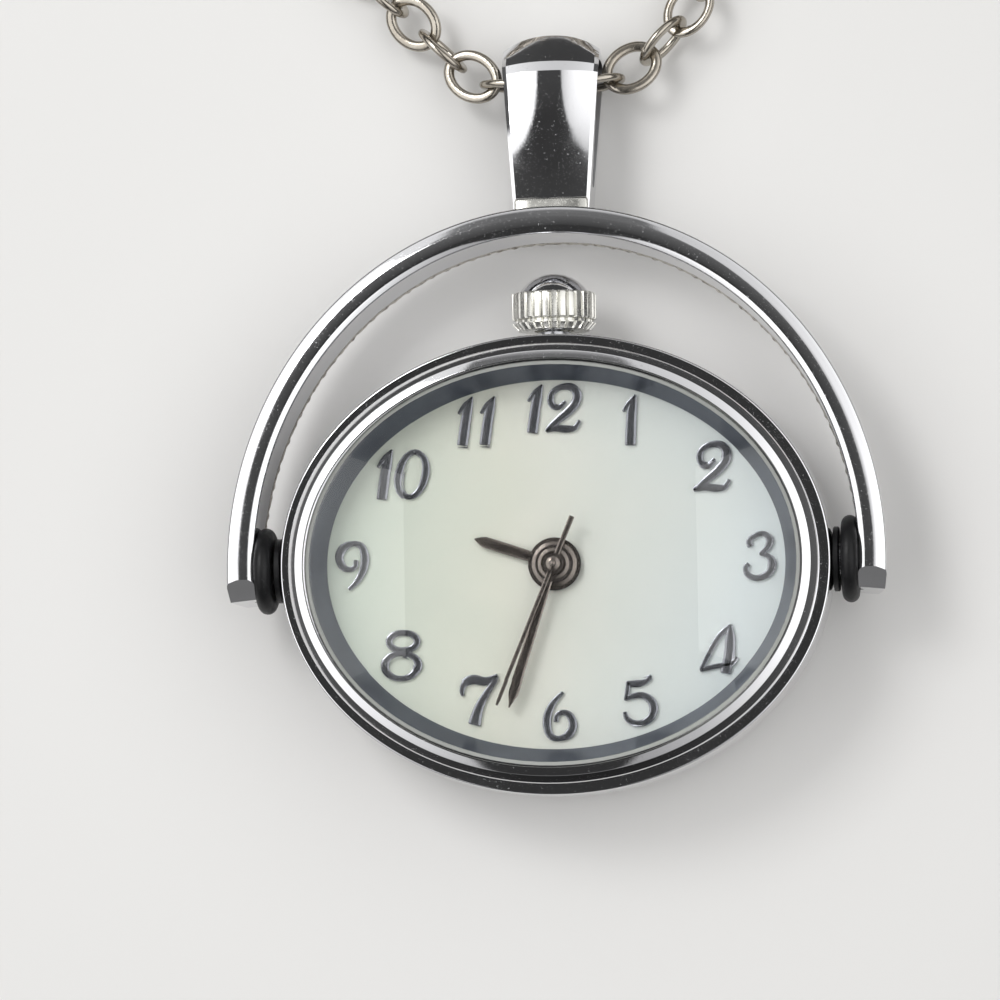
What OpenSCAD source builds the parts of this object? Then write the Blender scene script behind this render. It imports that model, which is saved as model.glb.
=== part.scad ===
// Pendant watch: an oval quartz watch that turns over between the legs of an arched yoke,
// hung by a bail on a cable chain. Millimetres. The watch lies on its back, dial up (+Z),
// 12 o'clock and the bail towards +Y, 3 o'clock towards +X. The origin is the centre of the back.

/* [Case] */
// Width of the case from 9 to 3 o'clock
case_w = 26.8; // [26:0.1:29]
// Length of the case from 6 to 12 o'clock
case_l = 22.4; // [22:0.1:24.4]
// Height of the case middle's upper edge above the back face
case_h = 5.3; // [5.2:0.1:5.5]
// Wall of the case middle at its widest
case_wall = 1.5; // [1.3:0.1:1.8]
// How far the case side draws in at its lower edge
side_draw_in = 0.8; // [0.4:0.1:0.9]
// Thickness of the case back
back_t = 0.8; // [0.7:0.05:0.9]

/* [Bezel and crystal] */
// How far the bezel's foot lies inside the widest line of the case
bezel_inset = 0.65; // [0.4:0.05:0.9]
// Width of the bezel ring
bezel_w = 0.85; // [0.7:0.05:1.1]
// Height of the bezel ring
bezel_h = 1.45; // [1.3:0.05:1.6]
// Thickness of the crystal at its middle
crystal_t = 0.95; // [0.9:0.05:1.2]
// Slope of the facets cut round the crystal, in degrees
facet_slope = 5; // [3:0.5:6]
// Width of the flange ring between crystal and dial
flange_w = 0.9; // [0.6:0.05:1.1]

/* [Dial and hands] */
// Thickness of the dial
dial_t = 0.35; // [0.3:0.05:0.4]
// Height of the numerals
numeral_h = 2.4; // [2:0.1:2.6]
// How far the numerals stand out of the dial
numeral_t = 0.16; // [0.1:0.02:0.2]
// Length of the hour hand from its axis
hour_len = 4.1; // [3.5:0.1:5]
// Length of the minute hand from its axis
minute_len = 7.2; // [6.5:0.1:7.4]
// Length of the second hand from its axis
second_len = 7.3; // [6.5:0.1:7.6]
// Where the hour hand points, in degrees clockwise from 12
hour_at = 288.5; // [0:0.5:360]
// Where the minute hand points, in degrees clockwise from 12
minute_at = 198.5; // [0:0.5:360]
// Where the second hand points, in degrees clockwise from 12
second_at = 203; // [0:0.5:360]

/* [Crown] */
// Radius of the crown over its flutes
crown_r = 2.05; // [1.8:0.05:2.15]
// Height of the fluted part of the crown
crown_h = 1.85; // [1.6:0.05:2]
// Height of the dome on the crown
dome_h = 0.95; // [0.7:0.05:1.1]
// Number of flutes round the crown
flutes = 30; // [20:1:36]

/* [Yoke] */
// Clear gap between the case side and each yoke leg, where the ring and washer sit
leg_gap = 1.45; // [1.4:0.05:1.6]
// Thickness of the yoke bar, seen from the front
leg_t = 1.25; // [1.15:0.05:1.4]
// Depth of the yoke bar from front to back
leg_d = 3.2; // [2.8:0.1:3.4]
// How far the bar's outer wall slants in towards its back
bar_taper = 0.45; // [0.2:0.05:0.6]
// Height of the top of the yoke above its pivot axis
arch_top = 17.4; // [17:0.1:18.5]
// How far the legs reach past the pivot axis
leg_past = 1.6; // [1.2:0.1:1.9]
// Height of the pivot axis above the back face
pivot_z = 3.7; // [3.6:0.05:3.9]
// Radius of the pivot pins
pin_r = 0.4; // [0.35:0.05:0.5]

/* [Bail] */
// Width of the bail at its top
bail_w = 4.8; // [4:0.1:5.2]
// Width of the bail at its foot
bail_foot_w = 3.7; // [3.2:0.1:4]
// Length of the bail above the yoke
bail_l = 8.1; // [7:0.1:8.2]
// Depth of the bail at its top
bail_d = 3.5; // [3.4:0.05:3.6]
// Wall of the bail
bail_wall = 0.45; // [0.4:0.05:0.5]

/* [Chain] */
// Outer length of a chain link
link_l = 3.15; // [3:0.05:3.3]
// Outer width of a chain link
link_w = 2.4; // [2.3:0.05:2.45]
// Thickness of the chain's wire
wire_d = 0.42; // [0.38:0.01:0.44]

/* [Hidden] */
$fn = 64;

oval_sides = 96; // for rings too thin to be drawn as two ovals
ring_slack = 0.01;
side_tiers = 6;
flange_tiers = 5;

// Clearances
run_gap = 0.03; // round a turning shaft
face_gap = 0.05; // between faces that turn past each other
seat_gap = 0.05; // round a piece that drops into its seat

// Case ovals, as half width and half length
case_a = case_w / 2;
case_b = case_l / 2;
cav_a = case_a - case_wall;
cav_b = case_b - case_wall;
bez_a = case_a - bezel_inset;
bez_b = case_b - bezel_inset;
open_a = bez_a - bezel_w;
open_b = bez_b - bezel_w;
dial_a = cav_a - seat_gap;
dial_b = cav_b - seat_gap;

// Levels above the back face
lip_z = 0.3; // lower edge of the case middle
side_z = 3.0; // widest line of the case
move_z = back_t + 0.1; // underside of the movement
plate_z = move_z + 1.6; // underside of the main plate
plate_t = 1.0;
plate_top = plate_z + plate_t;
dial_z = plate_top + 0.5; // underside of the dial
dial_top = dial_z + dial_t;
crystal_z = dial_top + 1.6; // underside of the crystal
bezel_top = case_h + bezel_h;

// Movement outline
move_w = 17.8;
move_l = 15.2;
move_r = 9.45;
battery_r = 3.4;
battery_h = 2.6;
battery_at = [-5.3, -2.6];
battery_z = move_z + 0.13;

// Gear trains: teeth and modules
motion_m = 0.13;
cannon_n = 10;
minute_wheel_n = 30;
minute_pinion_n = 8;
hour_wheel_n = 32;
fast_m = 0.07;
rotor_n = 8;
fifth_n = 48;
fifth_pinion_n = 10;
fourth_n = 50;
slow_m = 0.055;
fourth_pinion_n = 10;
third_n = 75;
centre_m = 0.065;
third_pinion_n = 8;
centre_n = 64;
motion_dir = 45; // direction of the minute wheel's axis
third_dir = 20;
fifth_dir = -60;
rotor_dir = -30; // seen from the fifth wheel
minute_axis = polar((cannon_n + minute_wheel_n) * motion_m / 2, motion_dir);
third_axis = polar((fourth_pinion_n + third_n) * slow_m / 2, third_dir);
fifth_axis = polar((fifth_pinion_n + fourth_n) * fast_m / 2, fifth_dir);
rotor_axis = fifth_axis + polar((rotor_n + fifth_n) * fast_m / 2, rotor_dir);
pivot_r = 0.1; // thin ends of the train's arbors
pivot_hole_r = pivot_r + run_gap;
arbor_r = 0.13;
gear_t = 0.14;

// Levels of the going train, between the bridge and the main plate
bridge_z = move_z + 0.1;
bridge_t = 0.3;
train_z = bridge_z + bridge_t + 0.1; // fourth wheel and rotor magnet
third_z = train_z + 0.24;
fifth_z = third_z + 0.22;
centre_z = plate_z - gear_t - 0.08;

// Motion work, on the dial side of the main plate
cannon_z = plate_top + 0.04;
hour_wheel_z = cannon_z + 0.25;
hour_hand_z = dial_top + 0.2;
minute_hand_z = hour_hand_z + 0.4;
second_hand_z = minute_hand_z + 0.32;
hand_t = 0.11;
hour_hub_r = 1.28;
minute_hub_r = 0.9;
second_hub_r = 0.5;
centre_tube_r = 0.27;
cannon_bore_r = centre_tube_r + run_gap;
cannon_r = 0.46;
hour_bore_r = cannon_r + run_gap;
hour_tube_r = 0.7;

// Crown and stem, along +Y
stem_z = plate_z + 0.55;
stem_r = 0.3;
stem_square = 0.36; // side of the stem's square end
tube_r = 0.8;
tube_bore_r = 0.62;
tube_out = case_b + 0.12; // outer end of the crown tube
crown_y = case_b + 0.2; // inner face of the crown
crown_skirt = 0.35;
crown_groove = 0.16;
dome_r = 1.7;
slide_pinion_r = 0.6;
slide_pinion_y = 4.1;
slide_pinion_l = 1.1;
stem_guide_y = 5.7;

// Yoke
leg_in = case_a + leg_gap; // inner face of each leg at the axis
arch_a = leg_in + leg_t;
arch_b = arch_top;
boss_h = 0.3; // pivot tube standing out of the case
boss_r = 0.78;
pin_in = case_a - 1.1; // inner end of the pins
washer_t = 0.28;
washer_r = 1.5;
ring_t = leg_gap - boss_h - washer_t - face_gap; // thickness of the black ring
ring_r = 2.1;
leg_crown = 0.24; // height of the rounded front of the bar
leg_end_angle = asin(leg_past / arch_b);

// The yoke leans back until the bail's back almost meets the surface that the case lies on
bail_top_y = arch_b + bail_l;
bail_eye_y = bail_top_y - bail_d / 2 - 0.1;
yoke_lean = asin((pivot_z - bail_d / 2 - 0.12) / bail_eye_y);

// Chain: pitch of the links, and the route of its centre line
link_play = 0.168; // how far two links can slide along one another
link_thin = 0.85; // radial thickness of the wire against its height, before the link is drawn out
link_pitch = link_l - 2 * wire_d * link_thin * link_l / link_w - link_play;
chain_z = 1.02; // centre line where the links lie half turned
eye = [0, bail_eye_y * cos(yoke_lean), pivot_z - bail_eye_y * sin(yoke_lean)];
turn_gap = 2.7; // between neighbouring strands in the coil
coil_at = [0, 54.5]; // centre of the coil
coil_in = 12; // radius at which the strands leave the coil for the clasp
coil_turns = 2;
coil_steps = 24; // points in a turn
coil_r = coil_in + 2 * turn_gap * coil_turns;
left_from = 205; // direction in which the left strand joins the coil, seen from its centre
right_from = 260;
right_turned = 360 * (coil_turns - 1) + right_from - left_from + 180;
inner_bend = 4.1; // radius of the strands' last bend, towards the clasp
clasp_reach = sqrt(pow(coil_in, 2) - 2 * coil_in * inner_bend); // centre of the coil to a strand's end
clasp_dir = left_from - 180 - asin(inner_bend / (coil_in - inner_bend));
left_route = [[0, 23.6, 1.87], [-2.1, 23.6, 1.9], [-3.7, 24, 1.7], [-5.2, 25.3, 1.4],
    [-7, 27.1, 1.2], [-9.8, 30, 1.05], [-13.5, 34.5, 1.02], [-17.2, 39.2, 1.02]];
right_route = [[0, 23.5, 1.87], [1.7, 23.5, 1.87], [3.3, 24, 1.75], [4.7, 25, 1.55], [6, 26.3, 1.35],
    [7, 27.8, 1.2], [7.5, 29.5, 1.08], [7.2, 31.3, 1.02], [6.1, 32.8, 1.02], [4.5, 33.8, 1.02],
    [2.6, 34.1, 1.02], [0.2, 34, 1.02]];

function polar(r, a) = [r * cos(a), r * sin(a)];

// Curve of Catmull and Rom through a list of points, with a few steps to each stretch
function bend(p, i, t) =
    let (a = p[max(i - 1, 0)], b = p[i], c = p[i + 1], d = p[min(i + 2, len(p) - 1)])
    b + t * (c - a) / 2 + t * t * (2 * a - 5 * b + 4 * c - d) / 2
        + t * t * t * (3 * b - a - 3 * c + d) / 2;
function smooth(p, steps) = concat(
    [for (i = [0:len(p) - 2], k = [0:steps - 1]) bend(p, i, k / steps)], [p[len(p) - 1]]);

// Outline of a brush stroke: points are [x, y, half width]
function side(p, i) =
    let (a = p[max(i - 1, 0)], b = p[min(i + 1, len(p) - 1)], d = [b.x - a.x, b.y - a.y])
    [-d.y, d.x] / norm(d);
function stroke_outline(p) = concat(
    [for (i = [0:len(p) - 1]) [p[i].x, p[i].y] + p[i].z * side(p, i)],
    [for (i = [len(p) - 1:-1:0]) [p[i].x, p[i].y] - p[i].z * side(p, i)]);

// Numerals as brush strokes in a cell one unit high
stroke_steps = 4;
digit_one = [[[0.32, 0.99, 0.02], [0.235, 0.75, 0.085], [0.19, 0.55, 0.095], [0.15, 0.3, 0.1],
    [0.11, 0.03, 0.1]],
    [[0.32, 0.98, 0.02], [0.17, 0.82, 0.05], [0.04, 0.66, 0.025]]];
digit_two = [[[0.42, 0.64, 0.03], [0.3, 0.53, 0.05], [0.17, 0.55, 0.06], [0.12, 0.68, 0.06],
    [0.17, 0.83, 0.055], [0.34, 0.93, 0.055], [0.55, 0.92, 0.075], [0.66, 0.78, 0.085],
    [0.62, 0.6, 0.085], [0.46, 0.42, 0.08], [0.26, 0.26, 0.07], [0.1, 0.12, 0.055],
    [0.03, 0.04, 0.03]],
    [[0.03, 0.05, 0.035], [0.2, 0.1, 0.06], [0.42, 0.08, 0.07], [0.6, 0.1, 0.05],
    [0.7, 0.24, 0.035]]];
digit_three = [[[0.18, 0.7, 0.06], [0.16, 0.81, 0.05], [0.3, 0.92, 0.045], [0.46, 0.94, 0.05],
    [0.57, 0.83, 0.07], [0.52, 0.67, 0.06], [0.37, 0.54, 0.03]],
    [[0.37, 0.545, 0.03], [0.54, 0.49, 0.05], [0.61, 0.35, 0.08], [0.54, 0.16, 0.07],
    [0.31, 0.06, 0.055], [0.12, 0.13, 0.055], [0.08, 0.27, 0.05], [0.14, 0.34, 0.045]]];
digit_four = [[[0.64, 0.95, 0.03], [0.44, 0.76, 0.05], [0.25, 0.46, 0.05], [0.07, 0.12, 0.04]],
    [[0.05, 0.1, 0.035], [0.37, 0.17, 0.045], [0.62, 0.2, 0.04], [0.72, 0.24, 0.04],
    [0.77, 0.32, 0.035]],
    [[0.66, 0.97, 0.03], [0.65, 0.7, 0.09], [0.62, 0.35, 0.1], [0.55, 0.04, 0.095]]];
digit_five = [[[0.12, 0.85, 0.05], [0.32, 0.845, 0.065], [0.47, 0.88, 0.05], [0.6, 0.96, 0.03]],
    [[0.14, 0.88, 0.04], [0.12, 0.7, 0.045], [0.08, 0.52, 0.035]],
    [[0.09, 0.55, 0.035], [0.24, 0.6, 0.05], [0.42, 0.61, 0.06], [0.58, 0.51, 0.08],
    [0.64, 0.35, 0.08], [0.58, 0.17, 0.07], [0.42, 0.06, 0.06], [0.24, 0.06, 0.055],
    [0.1, 0.15, 0.05], [0.06, 0.28, 0.035]]];
digit_six = [[[0.43, 0.97, 0.03], [0.25, 0.79, 0.055], [0.13, 0.57, 0.075], [0.095, 0.33, 0.08],
    [0.16, 0.11, 0.065], [0.34, 0.05, 0.05], [0.53, 0.13, 0.08], [0.62, 0.31, 0.08],
    [0.56, 0.5, 0.07], [0.42, 0.57, 0.05], [0.3, 0.51, 0.045], [0.28, 0.39, 0.045]]];
digit_seven = [[[0.08, 0.62, 0.03], [0.06, 0.72, 0.045], [0.12, 0.86, 0.06], [0.3, 0.92, 0.07],
    [0.54, 0.88, 0.06], [0.78, 0.97, 0.035]],
    [[0.77, 0.95, 0.04], [0.63, 0.77, 0.055], [0.47, 0.52, 0.075], [0.37, 0.3, 0.095],
    [0.3, 0.05, 0.12]]];
lean_of_zero = 0.16; // how far its top stands to the right of its foot
lean_of_lone_one = -0.1; // the 1 by itself stands straighter than in 10, 11 and 12
figure_widths = [0.69, 0.38, 0.76, 0.7, 0.82, 0.73, 0.71, 0.82, 0.82, 0.71];
digit_pitch = 0.37; // between the two figures of 10 and 12
ones_pitch = 0.45; // between the two figures of 11
// Middles of the numerals from 1 to 12 on the dial
numeral_at = [[3.83, 6.81], [7.62, 4.49], [9.74, 0.18], [7.71, -4.21], [3.98, -6.56], [0.1, -7.21],
    [-3.76, -6.43], [-7.47, -4.22], [-9.73, 0.15], [-7.25, 4.48], [-3.65, 6.9], [0.1, 7.42]];
chamber = 0.08; // least wall left round a pocket

module metal() { color([0.8, 0.81, 0.83]) children(); }
module brass() { color([0.83, 0.7, 0.42]) children(); }
module steel() { color([0.62, 0.63, 0.66]) children(); }
module dark() { color([0.3, 0.29, 0.29]) children(); }
module black() { color([0.05, 0.05, 0.055]) children(); }

// Oval block from its half width, half length and height
module oval(a, b, h, z = 0) {
    translate([0, 0, z]) linear_extrude(h) scale([a / b, 1]) circle(b);
}
// Rounded edge as a stack of ovals: each tier is how far it is drawn in, its lower and its upper level
module oval_tiers(a, b, tiers) {
    for (s = tiers) oval(a - s[0], b - s[0], s[2] - s[1], s[1]);
}
// Outline of an oval as a polygon with many sides
module oval_outline(a, b) {
    polygon([for (t = [0:360 / oval_sides:359]) [a * cos(t), b * sin(t)]]);
}
module disc(r, h, z = 0) { translate([0, 0, z]) cylinder(r = r, h = h); }
module tube(r, bore, h, z = 0) {
    translate([0, 0, z]) difference() {
        cylinder(r = r, h = h);
        translate([0, 0, -1]) cylinder(r = bore, h = h + 2);
    }
}
// Turns a piece made along +Z to lie along +X or +Y
module along_x(x = 0) { translate([x, 0, pivot_z]) rotate([0, 90, 0]) children(); }
module along_y(y = 0) { translate([0, y, stem_z]) rotate([-90, 0, 0]) children(); }
module both_sides() {
    children();
    mirror([1, 0, 0]) children();
}
module leaned() { translate([0, 0, pivot_z]) rotate([-yoke_lean, 0, 0]) children(); }

// Yoke

bar_in = arch_b - leg_t;
bar_front = leg_d / 2 - leg_crown; // where the bar's sides end and its rounded front begins
function bar_outer(z) = arch_b - bar_taper * max(0, bar_front - 0.1 - z) / (bar_front - 0.1 + leg_d / 2);
arch_bow = pow(arch_a, 2) / arch_b; // radius of the arch where the bail stands on it
foot_steps = [-0.7, 0.2, 5]; // levels up to which the bail's foot follows the slanting wall
module bar_section() {
    polygon(concat([[bar_in, bar_front], [bar_in, -leg_d / 2 + 0.1], [bar_in + 0.1, -leg_d / 2],
        [arch_b - bar_taper, -leg_d / 2], [arch_b, bar_front - 0.1], [arch_b, bar_front]],
        [for (t = [30:30:150]) [arch_b - leg_t / 2 + leg_t / 2 * cos(t),
            bar_front + leg_crown * sin(t)]]));
}
module leg_end_cut() {
    translate([arch_a - leg_t / 2, -leg_past, leg_d / 2 - 0.75]) rotate([35, 0, 0])
        translate([-3, -3, 0]) cube([6, 3 + 2.5, 4]);
}
module yoke_arch() {
    metal() leaned() difference() {
        scale([arch_a / arch_b, 1, 1])
            rotate([0, 0, -leg_end_angle]) rotate_extrude(angle = 180 + 2 * leg_end_angle) bar_section();
        both_sides() translate([pin_in, 0, 0]) rotate([0, 90, 0]) cylinder(r = pin_r, h = arch_a);
        both_sides() leg_end_cut();
    }
}
module bail_side() { // seen from +X, as [along Y, along Z]
    hull() {
        translate([bail_eye_y + 0.05, 0]) circle(bail_d / 2);
        translate([arch_b - 1, -1.25]) square([1, 2.5]);
    }
}
module bail_hole() {
    hull() {
        translate([bail_eye_y + 0.05, 0]) circle(bail_d / 2 - bail_wall);
        translate([arch_b + 1.3, -0.55]) square([0.5, 1.1]);
    }
}
module bail_front() { // seen from the front, wider towards its domed top
    crown_rise = 1.1;
    bow = (pow(bail_w / 2, 2) + pow(crown_rise, 2)) / (2 * crown_rise);
    bow_y = bail_top_y - bow;
    spread = (bail_w - bail_foot_w) / 2 / (bail_l - crown_rise);
    intersection() {
        polygon([[-bail_foot_w / 2 + spread, arch_b - 1], [bail_foot_w / 2 - spread, arch_b - 1],
            [bail_foot_w / 2 + (bail_l + 1) * spread, bail_top_y + 1],
            [-bail_foot_w / 2 - (bail_l + 1) * spread, bail_top_y + 1]]);
        union() {
            translate([0, bow_y]) circle(bow);
            translate([-bail_w / 2 - 0.2, arch_b - 2]) square([bail_w + 0.4, bow_y - arch_b + 2.3]);
        }
    }
}
module bail() {
    metal() leaned() difference() {
        intersection() {
            translate([0, 0, -5]) linear_extrude(10) bail_front();
            rotate([90, 0, 90]) translate([0, 0, -5]) linear_extrude(10) bail_side();
        }
        rotate([90, 0, 90]) translate([0, 0, -5]) linear_extrude(10) bail_hole();
        for (z = foot_steps) translate([0, bar_outer(z) - arch_bow, z - 5]) cylinder(r = arch_bow, h = 5);
    }
}
module pivot_pin() {
    along_x(pin_in) cylinder(r = pin_r, h = arch_a - pin_in + 0.05);
    along_x(arch_a + 0.02) cylinder(r1 = pin_r + 0.22, r2 = pin_r, h = 0.14);
}
module pivot_pin_right() { steel() pivot_pin(); }
module pivot_pin_left() { steel() mirror([1, 0, 0]) pivot_pin(); }
module o_ring() {
    round_r = ring_t / 2;
    along_x(leg_in - washer_t - ring_t / 2) rotate_extrude() union() {
        translate([ring_r - round_r, 0]) circle(round_r);
        translate([pin_r, -round_r]) square([ring_r - round_r - pin_r, 2 * round_r]);
    }
}
module o_ring_right() { black() o_ring(); }
module o_ring_left() { black() mirror([1, 0, 0]) o_ring(); }
module friction_washer() { along_x(leg_in - washer_t) tube(washer_r, pin_r, washer_t - 0.02); }
module friction_washer_right() { black() friction_washer(); }
module friction_washer_left() { black() mirror([1, 0, 0]) friction_washer(); }

// Chain: links along a route, each one turned a quarter against the last

function run_lengths(p) = [for (i = 0, s = 0; i < len(p);
    s = s + (i < len(p) - 1 ? norm(p[i + 1] - p[i]) : 0), i = i + 1) s];
function table(p, s, axis) = [for (i = [0:len(p) - 1]) [s[i], p[i][axis]]];
function at_length(t, s) = [lookup(s, t[0]), lookup(s, t[1]), lookup(s, t[2])];

// The coil winds in clockwise, its two strands side by side, and each one ends in a tighter bend
function coil_point(r, angle) = [coil_at.x + r * cos(angle), coil_at.y + r * sin(angle), chain_z];
function coil_run(from, turned) = [for (a = [0:360 / coil_steps:turned])
    coil_point(coil_in + 2 * turn_gap * (turned - a) / 360, from - a)];
function last_bend(from) = [for (a = [30:30:121])
    coil_point(coil_in - inner_bend, from) + inner_bend * [cos(from - a), sin(from - a), 0]];
left_path = smooth(concat(left_route, coil_run(left_from, 360 * coil_turns), last_bend(left_from)), 3);
right_path = smooth(concat(right_route, coil_run(right_from, right_turned),
    last_bend(left_from - 180)), 3);

module link() {
    scale([link_l / link_w, 1, 1]) rotate_extrude($fn = 32)
        translate([(link_w - wire_d) / 2, 0]) scale([link_thin, 1]) circle(wire_d / 2);
}
module strand(path, first, turned_by = 0) {
    s = run_lengths(path);
    length = s[len(s) - 1];
    t = [table(path, s, 0), table(path, s, 1), table(path, s, 2)];
    count = round((length - first) / link_pitch);
    pitch = (length - first) / count; // the last link ends the path
    for (i = [0:count]) {
        mid = first + i * pitch;
        d = at_length(t, mid + pitch / 2) - at_length(t, mid - pitch / 2);
        near = max(0, 1 - i / 10); // near the bail the links lie flat and on edge in turn
        roll = ((i + turned_by) % 2 == 0 ? 1 : -1) * 45 + 45 * near;
        translate(at_length(t, mid)) rotate([0, 0, atan2(d.y, d.x)])
            rotate([0, -atan2(d.z, norm([d.x, d.y])), 0]) rotate([roll, 0, 0]) link();
    }
}
module chain_left() { color([0.72, 0.7, 0.66]) strand(left_path, link_pitch); }
module chain_right() { color([0.72, 0.7, 0.66]) strand(right_path, 0, 1); }

// Clasp: a claw that lies flat in the middle of the coil, with a ring at each end

end_ring_r = 1.35; // to the middle of its wire
end_ring_wire = 0.34;
end_ring_x = clasp_reach - 2;
end_ring_z = end_ring_r + end_ring_wire / 2 + 0.04;
claw_t = 0.9;
claw_z = chain_z - claw_t / 2;
claw_slot = 0.5; // room for the lever between the ears
claw_eye_x = 1.2 - end_ring_x;
claw_hook_x = end_ring_x - 1.95;
claw_hook_r = 1.25;
claw_wall = 0.42;
lever_t = 0.44;
lever_pin = [0.2, 0.85];
lever_pin_r = 0.15;
module at_clasp() { translate([coil_at.x, coil_at.y, 0]) rotate([0, 0, clasp_dir]) children(); }
module end_rings() {
    color([0.72, 0.7, 0.66]) at_clasp() for (x = [-end_ring_x, end_ring_x])
        translate([x, 0, end_ring_z]) rotate([90, 0, 0]) rotate_extrude()
            translate([end_ring_r, 0]) circle(end_ring_wire / 2);
}
module clasp_body() {
    color([0.74, 0.72, 0.68]) at_clasp() difference() {
        union() {
            translate([0, 0, claw_z]) linear_extrude(claw_t) polygon([[-2.85, -0.55], [-1.8, -1.15],
                [1.6, -1.3], [1.6, 1.25], [-1.8, 1.15], [-2.85, 0.55]]);
            translate([claw_hook_x, 0, 0]) disc(claw_hook_r + claw_wall, claw_t, claw_z);
            translate([claw_eye_x, 0, 0]) disc(0.85, 0.6, chain_z - 0.3);
        }
        translate([claw_hook_x, 0, 0]) disc(claw_hook_r, 4, 0);
        translate([claw_eye_x, 0, 0]) disc(0.5, 4, 0);
        translate([1.2, 0.5, 0]) cube([claw_hook_x - 1.2, 3, 4]); // mouth
        translate([-0.55, 0.3, chain_z - claw_slot / 2]) cube([3, 3, claw_slot]);
        translate([lever_pin.x, lever_pin.y, 0]) disc(lever_pin_r, 4, 0);
    }
}
module clasp_lever() {
    color([0.78, 0.76, 0.72]) at_clasp() difference() {
        translate([lever_pin.x, lever_pin.y, chain_z - lever_t / 2]) union() {
            cylinder(r = 0.42, h = lever_t);
            linear_extrude(lever_t) polygon([[-0.3, 0.05], [0, -0.35], [2.3, 0.42], [2.42, 0.82],
                [0.4, 0.42], [-0.3, 1.2], [-0.75, 1.05]]);
        }
        translate([lever_pin.x, lever_pin.y, 0]) disc(lever_pin_r + run_gap, 4, 0);
    }
}
module clasp_pin() {
    steel() at_clasp() translate([lever_pin.x, lever_pin.y, 0]) disc(lever_pin_r, claw_t, claw_z);
}

// Case

// The side bulges to its widest line, drawn in by a square law below and above it
top_draw_in = bezel_inset - 0.15;
module case_side() {
    oval_tiers(case_a, case_b, [for (k = [0:side_tiers - 1])
        let (in = side_draw_in * pow(1 - k / side_tiers, 2))
        [in, side_z - (side_z - lip_z) * (1 - k / side_tiers),
            min(case_h, side_z + (case_h - side_z) * sqrt(in / top_draw_in))]]);
}
module case_middle() {
    metal() difference() {
        case_side();
        oval(cav_a, cav_b, case_h + 2, -1);
        both_sides() along_x(cav_a - 1) cylinder(r = boss_r, h = case_wall + 2);
        along_y(cav_b - 1) cylinder(r = tube_r, h = case_wall + 2);
        translate([-case_a - 1, -1.2, lip_z - 1]) cube([1.9, 2.4, 1.15]); // notch to prise the back off
    }
}
module pivot_tubes() {
    steel() both_sides() along_x(cav_a + chamber) tube(boss_r, pin_r + run_gap, case_a + boss_h - cav_a - chamber);
}
module crown_tube() {
    steel() along_y(cav_b + chamber) tube(tube_r, tube_bore_r, tube_out - cav_b - chamber);
}
module bezel() {
    metal() difference() {
        oval_tiers(bez_a, bez_b, [[0, case_h, bezel_top - 0.7], [0.06, case_h, bezel_top - 0.4],
            [0.15, case_h, bezel_top - 0.16], [0.28, case_h, bezel_top]]);
        oval(open_a, open_b, bezel_h + 2, case_h - 1);
        oval(open_a + 0.1, open_b + 0.1, 1, bezel_top - 0.18);
        oval(open_a + 0.22, open_b + 0.22, 1, bezel_top - 0.07);
    }
}
gasket_w = 0.2;
glass_a = open_a - gasket_w;
glass_b = open_b - gasket_w;
module facet(dir, reach) { // cuts one sloped facet into the crystal's upper face
    rotate([0, 0, dir]) translate([reach, 0, crystal_z + crystal_t]) rotate([0, facet_slope, 0])
        translate([0, -20, 0]) cube([20, 40, 3]);
}
module crystal() {
    color([0.9, 0.95, 0.95, 0.35]) difference() {
        oval(glass_a, glass_b, crystal_t, crystal_z);
        for (dir = [0, 180]) facet(dir, glass_a * 0.6);
        for (dir = [90, 270]) facet(dir, glass_b * 0.59);
        for (dir = [40, 140, 220, 320]) facet(dir, glass_b * 0.86);
    }
}
module crystal_gasket() {
    color([0.85, 0.85, 0.85]) translate([0, 0, crystal_z]) linear_extrude(bezel_top - 0.3 - crystal_z)
        difference() {
            oval_outline(open_a - ring_slack, open_b - ring_slack);
            oval_outline(glass_a + 2 * ring_slack, glass_b + 2 * ring_slack);
        }
}
flange_foot = 0.12; // upright edge at the dial, below the slope
flange_edge = 0.15; // flat edge left under the crystal
module flange_ring() {
    slope = flange_w - flange_edge;
    rise = (crystal_z - dial_top - flange_foot) / flange_tiers;
    color([0.42, 0.44, 0.48]) difference() {
        union() {
            oval(dial_a, dial_b, case_h - dial_top, dial_top);
            oval(open_a, open_b, crystal_z - dial_top, dial_top);
        }
        oval_tiers(open_a, open_b, [for (k = [0:flange_tiers])
            [flange_w - slope * k / flange_tiers, dial_top + (k == 0 ? -1 : flange_foot + (k - 1) * rise),
                crystal_z + 1]]);
    }
}
module dial() {
    color([0.86, 0.89, 0.85]) difference() {
        oval(dial_a, dial_b, dial_t, dial_z);
        disc(hour_tube_r + 0.15, 3, dial_z - 1);
    }
}
function lean_by(p, lean) = [for (q = p) [q.x + lean * (q.y - 0.5), q.y, q.z]];
module strokes(list, lean = 0) {
    for (p = list) polygon(stroke_outline(smooth(lean_by(p, lean), stroke_steps)));
}
function leaned_oval(x, y, rx, ry, lean) =
    [for (t = [0:12:348]) [x + rx * cos(t) + lean * ry * sin(t), y + ry * sin(t)]];
module ring_figure(x, y, rx, ry, thick, thin, lean = 0) {
    difference() {
        polygon(leaned_oval(x, y, rx, ry, lean));
        polygon(leaned_oval(x, y, rx - thick, ry - thin, lean));
    }
}
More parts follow.
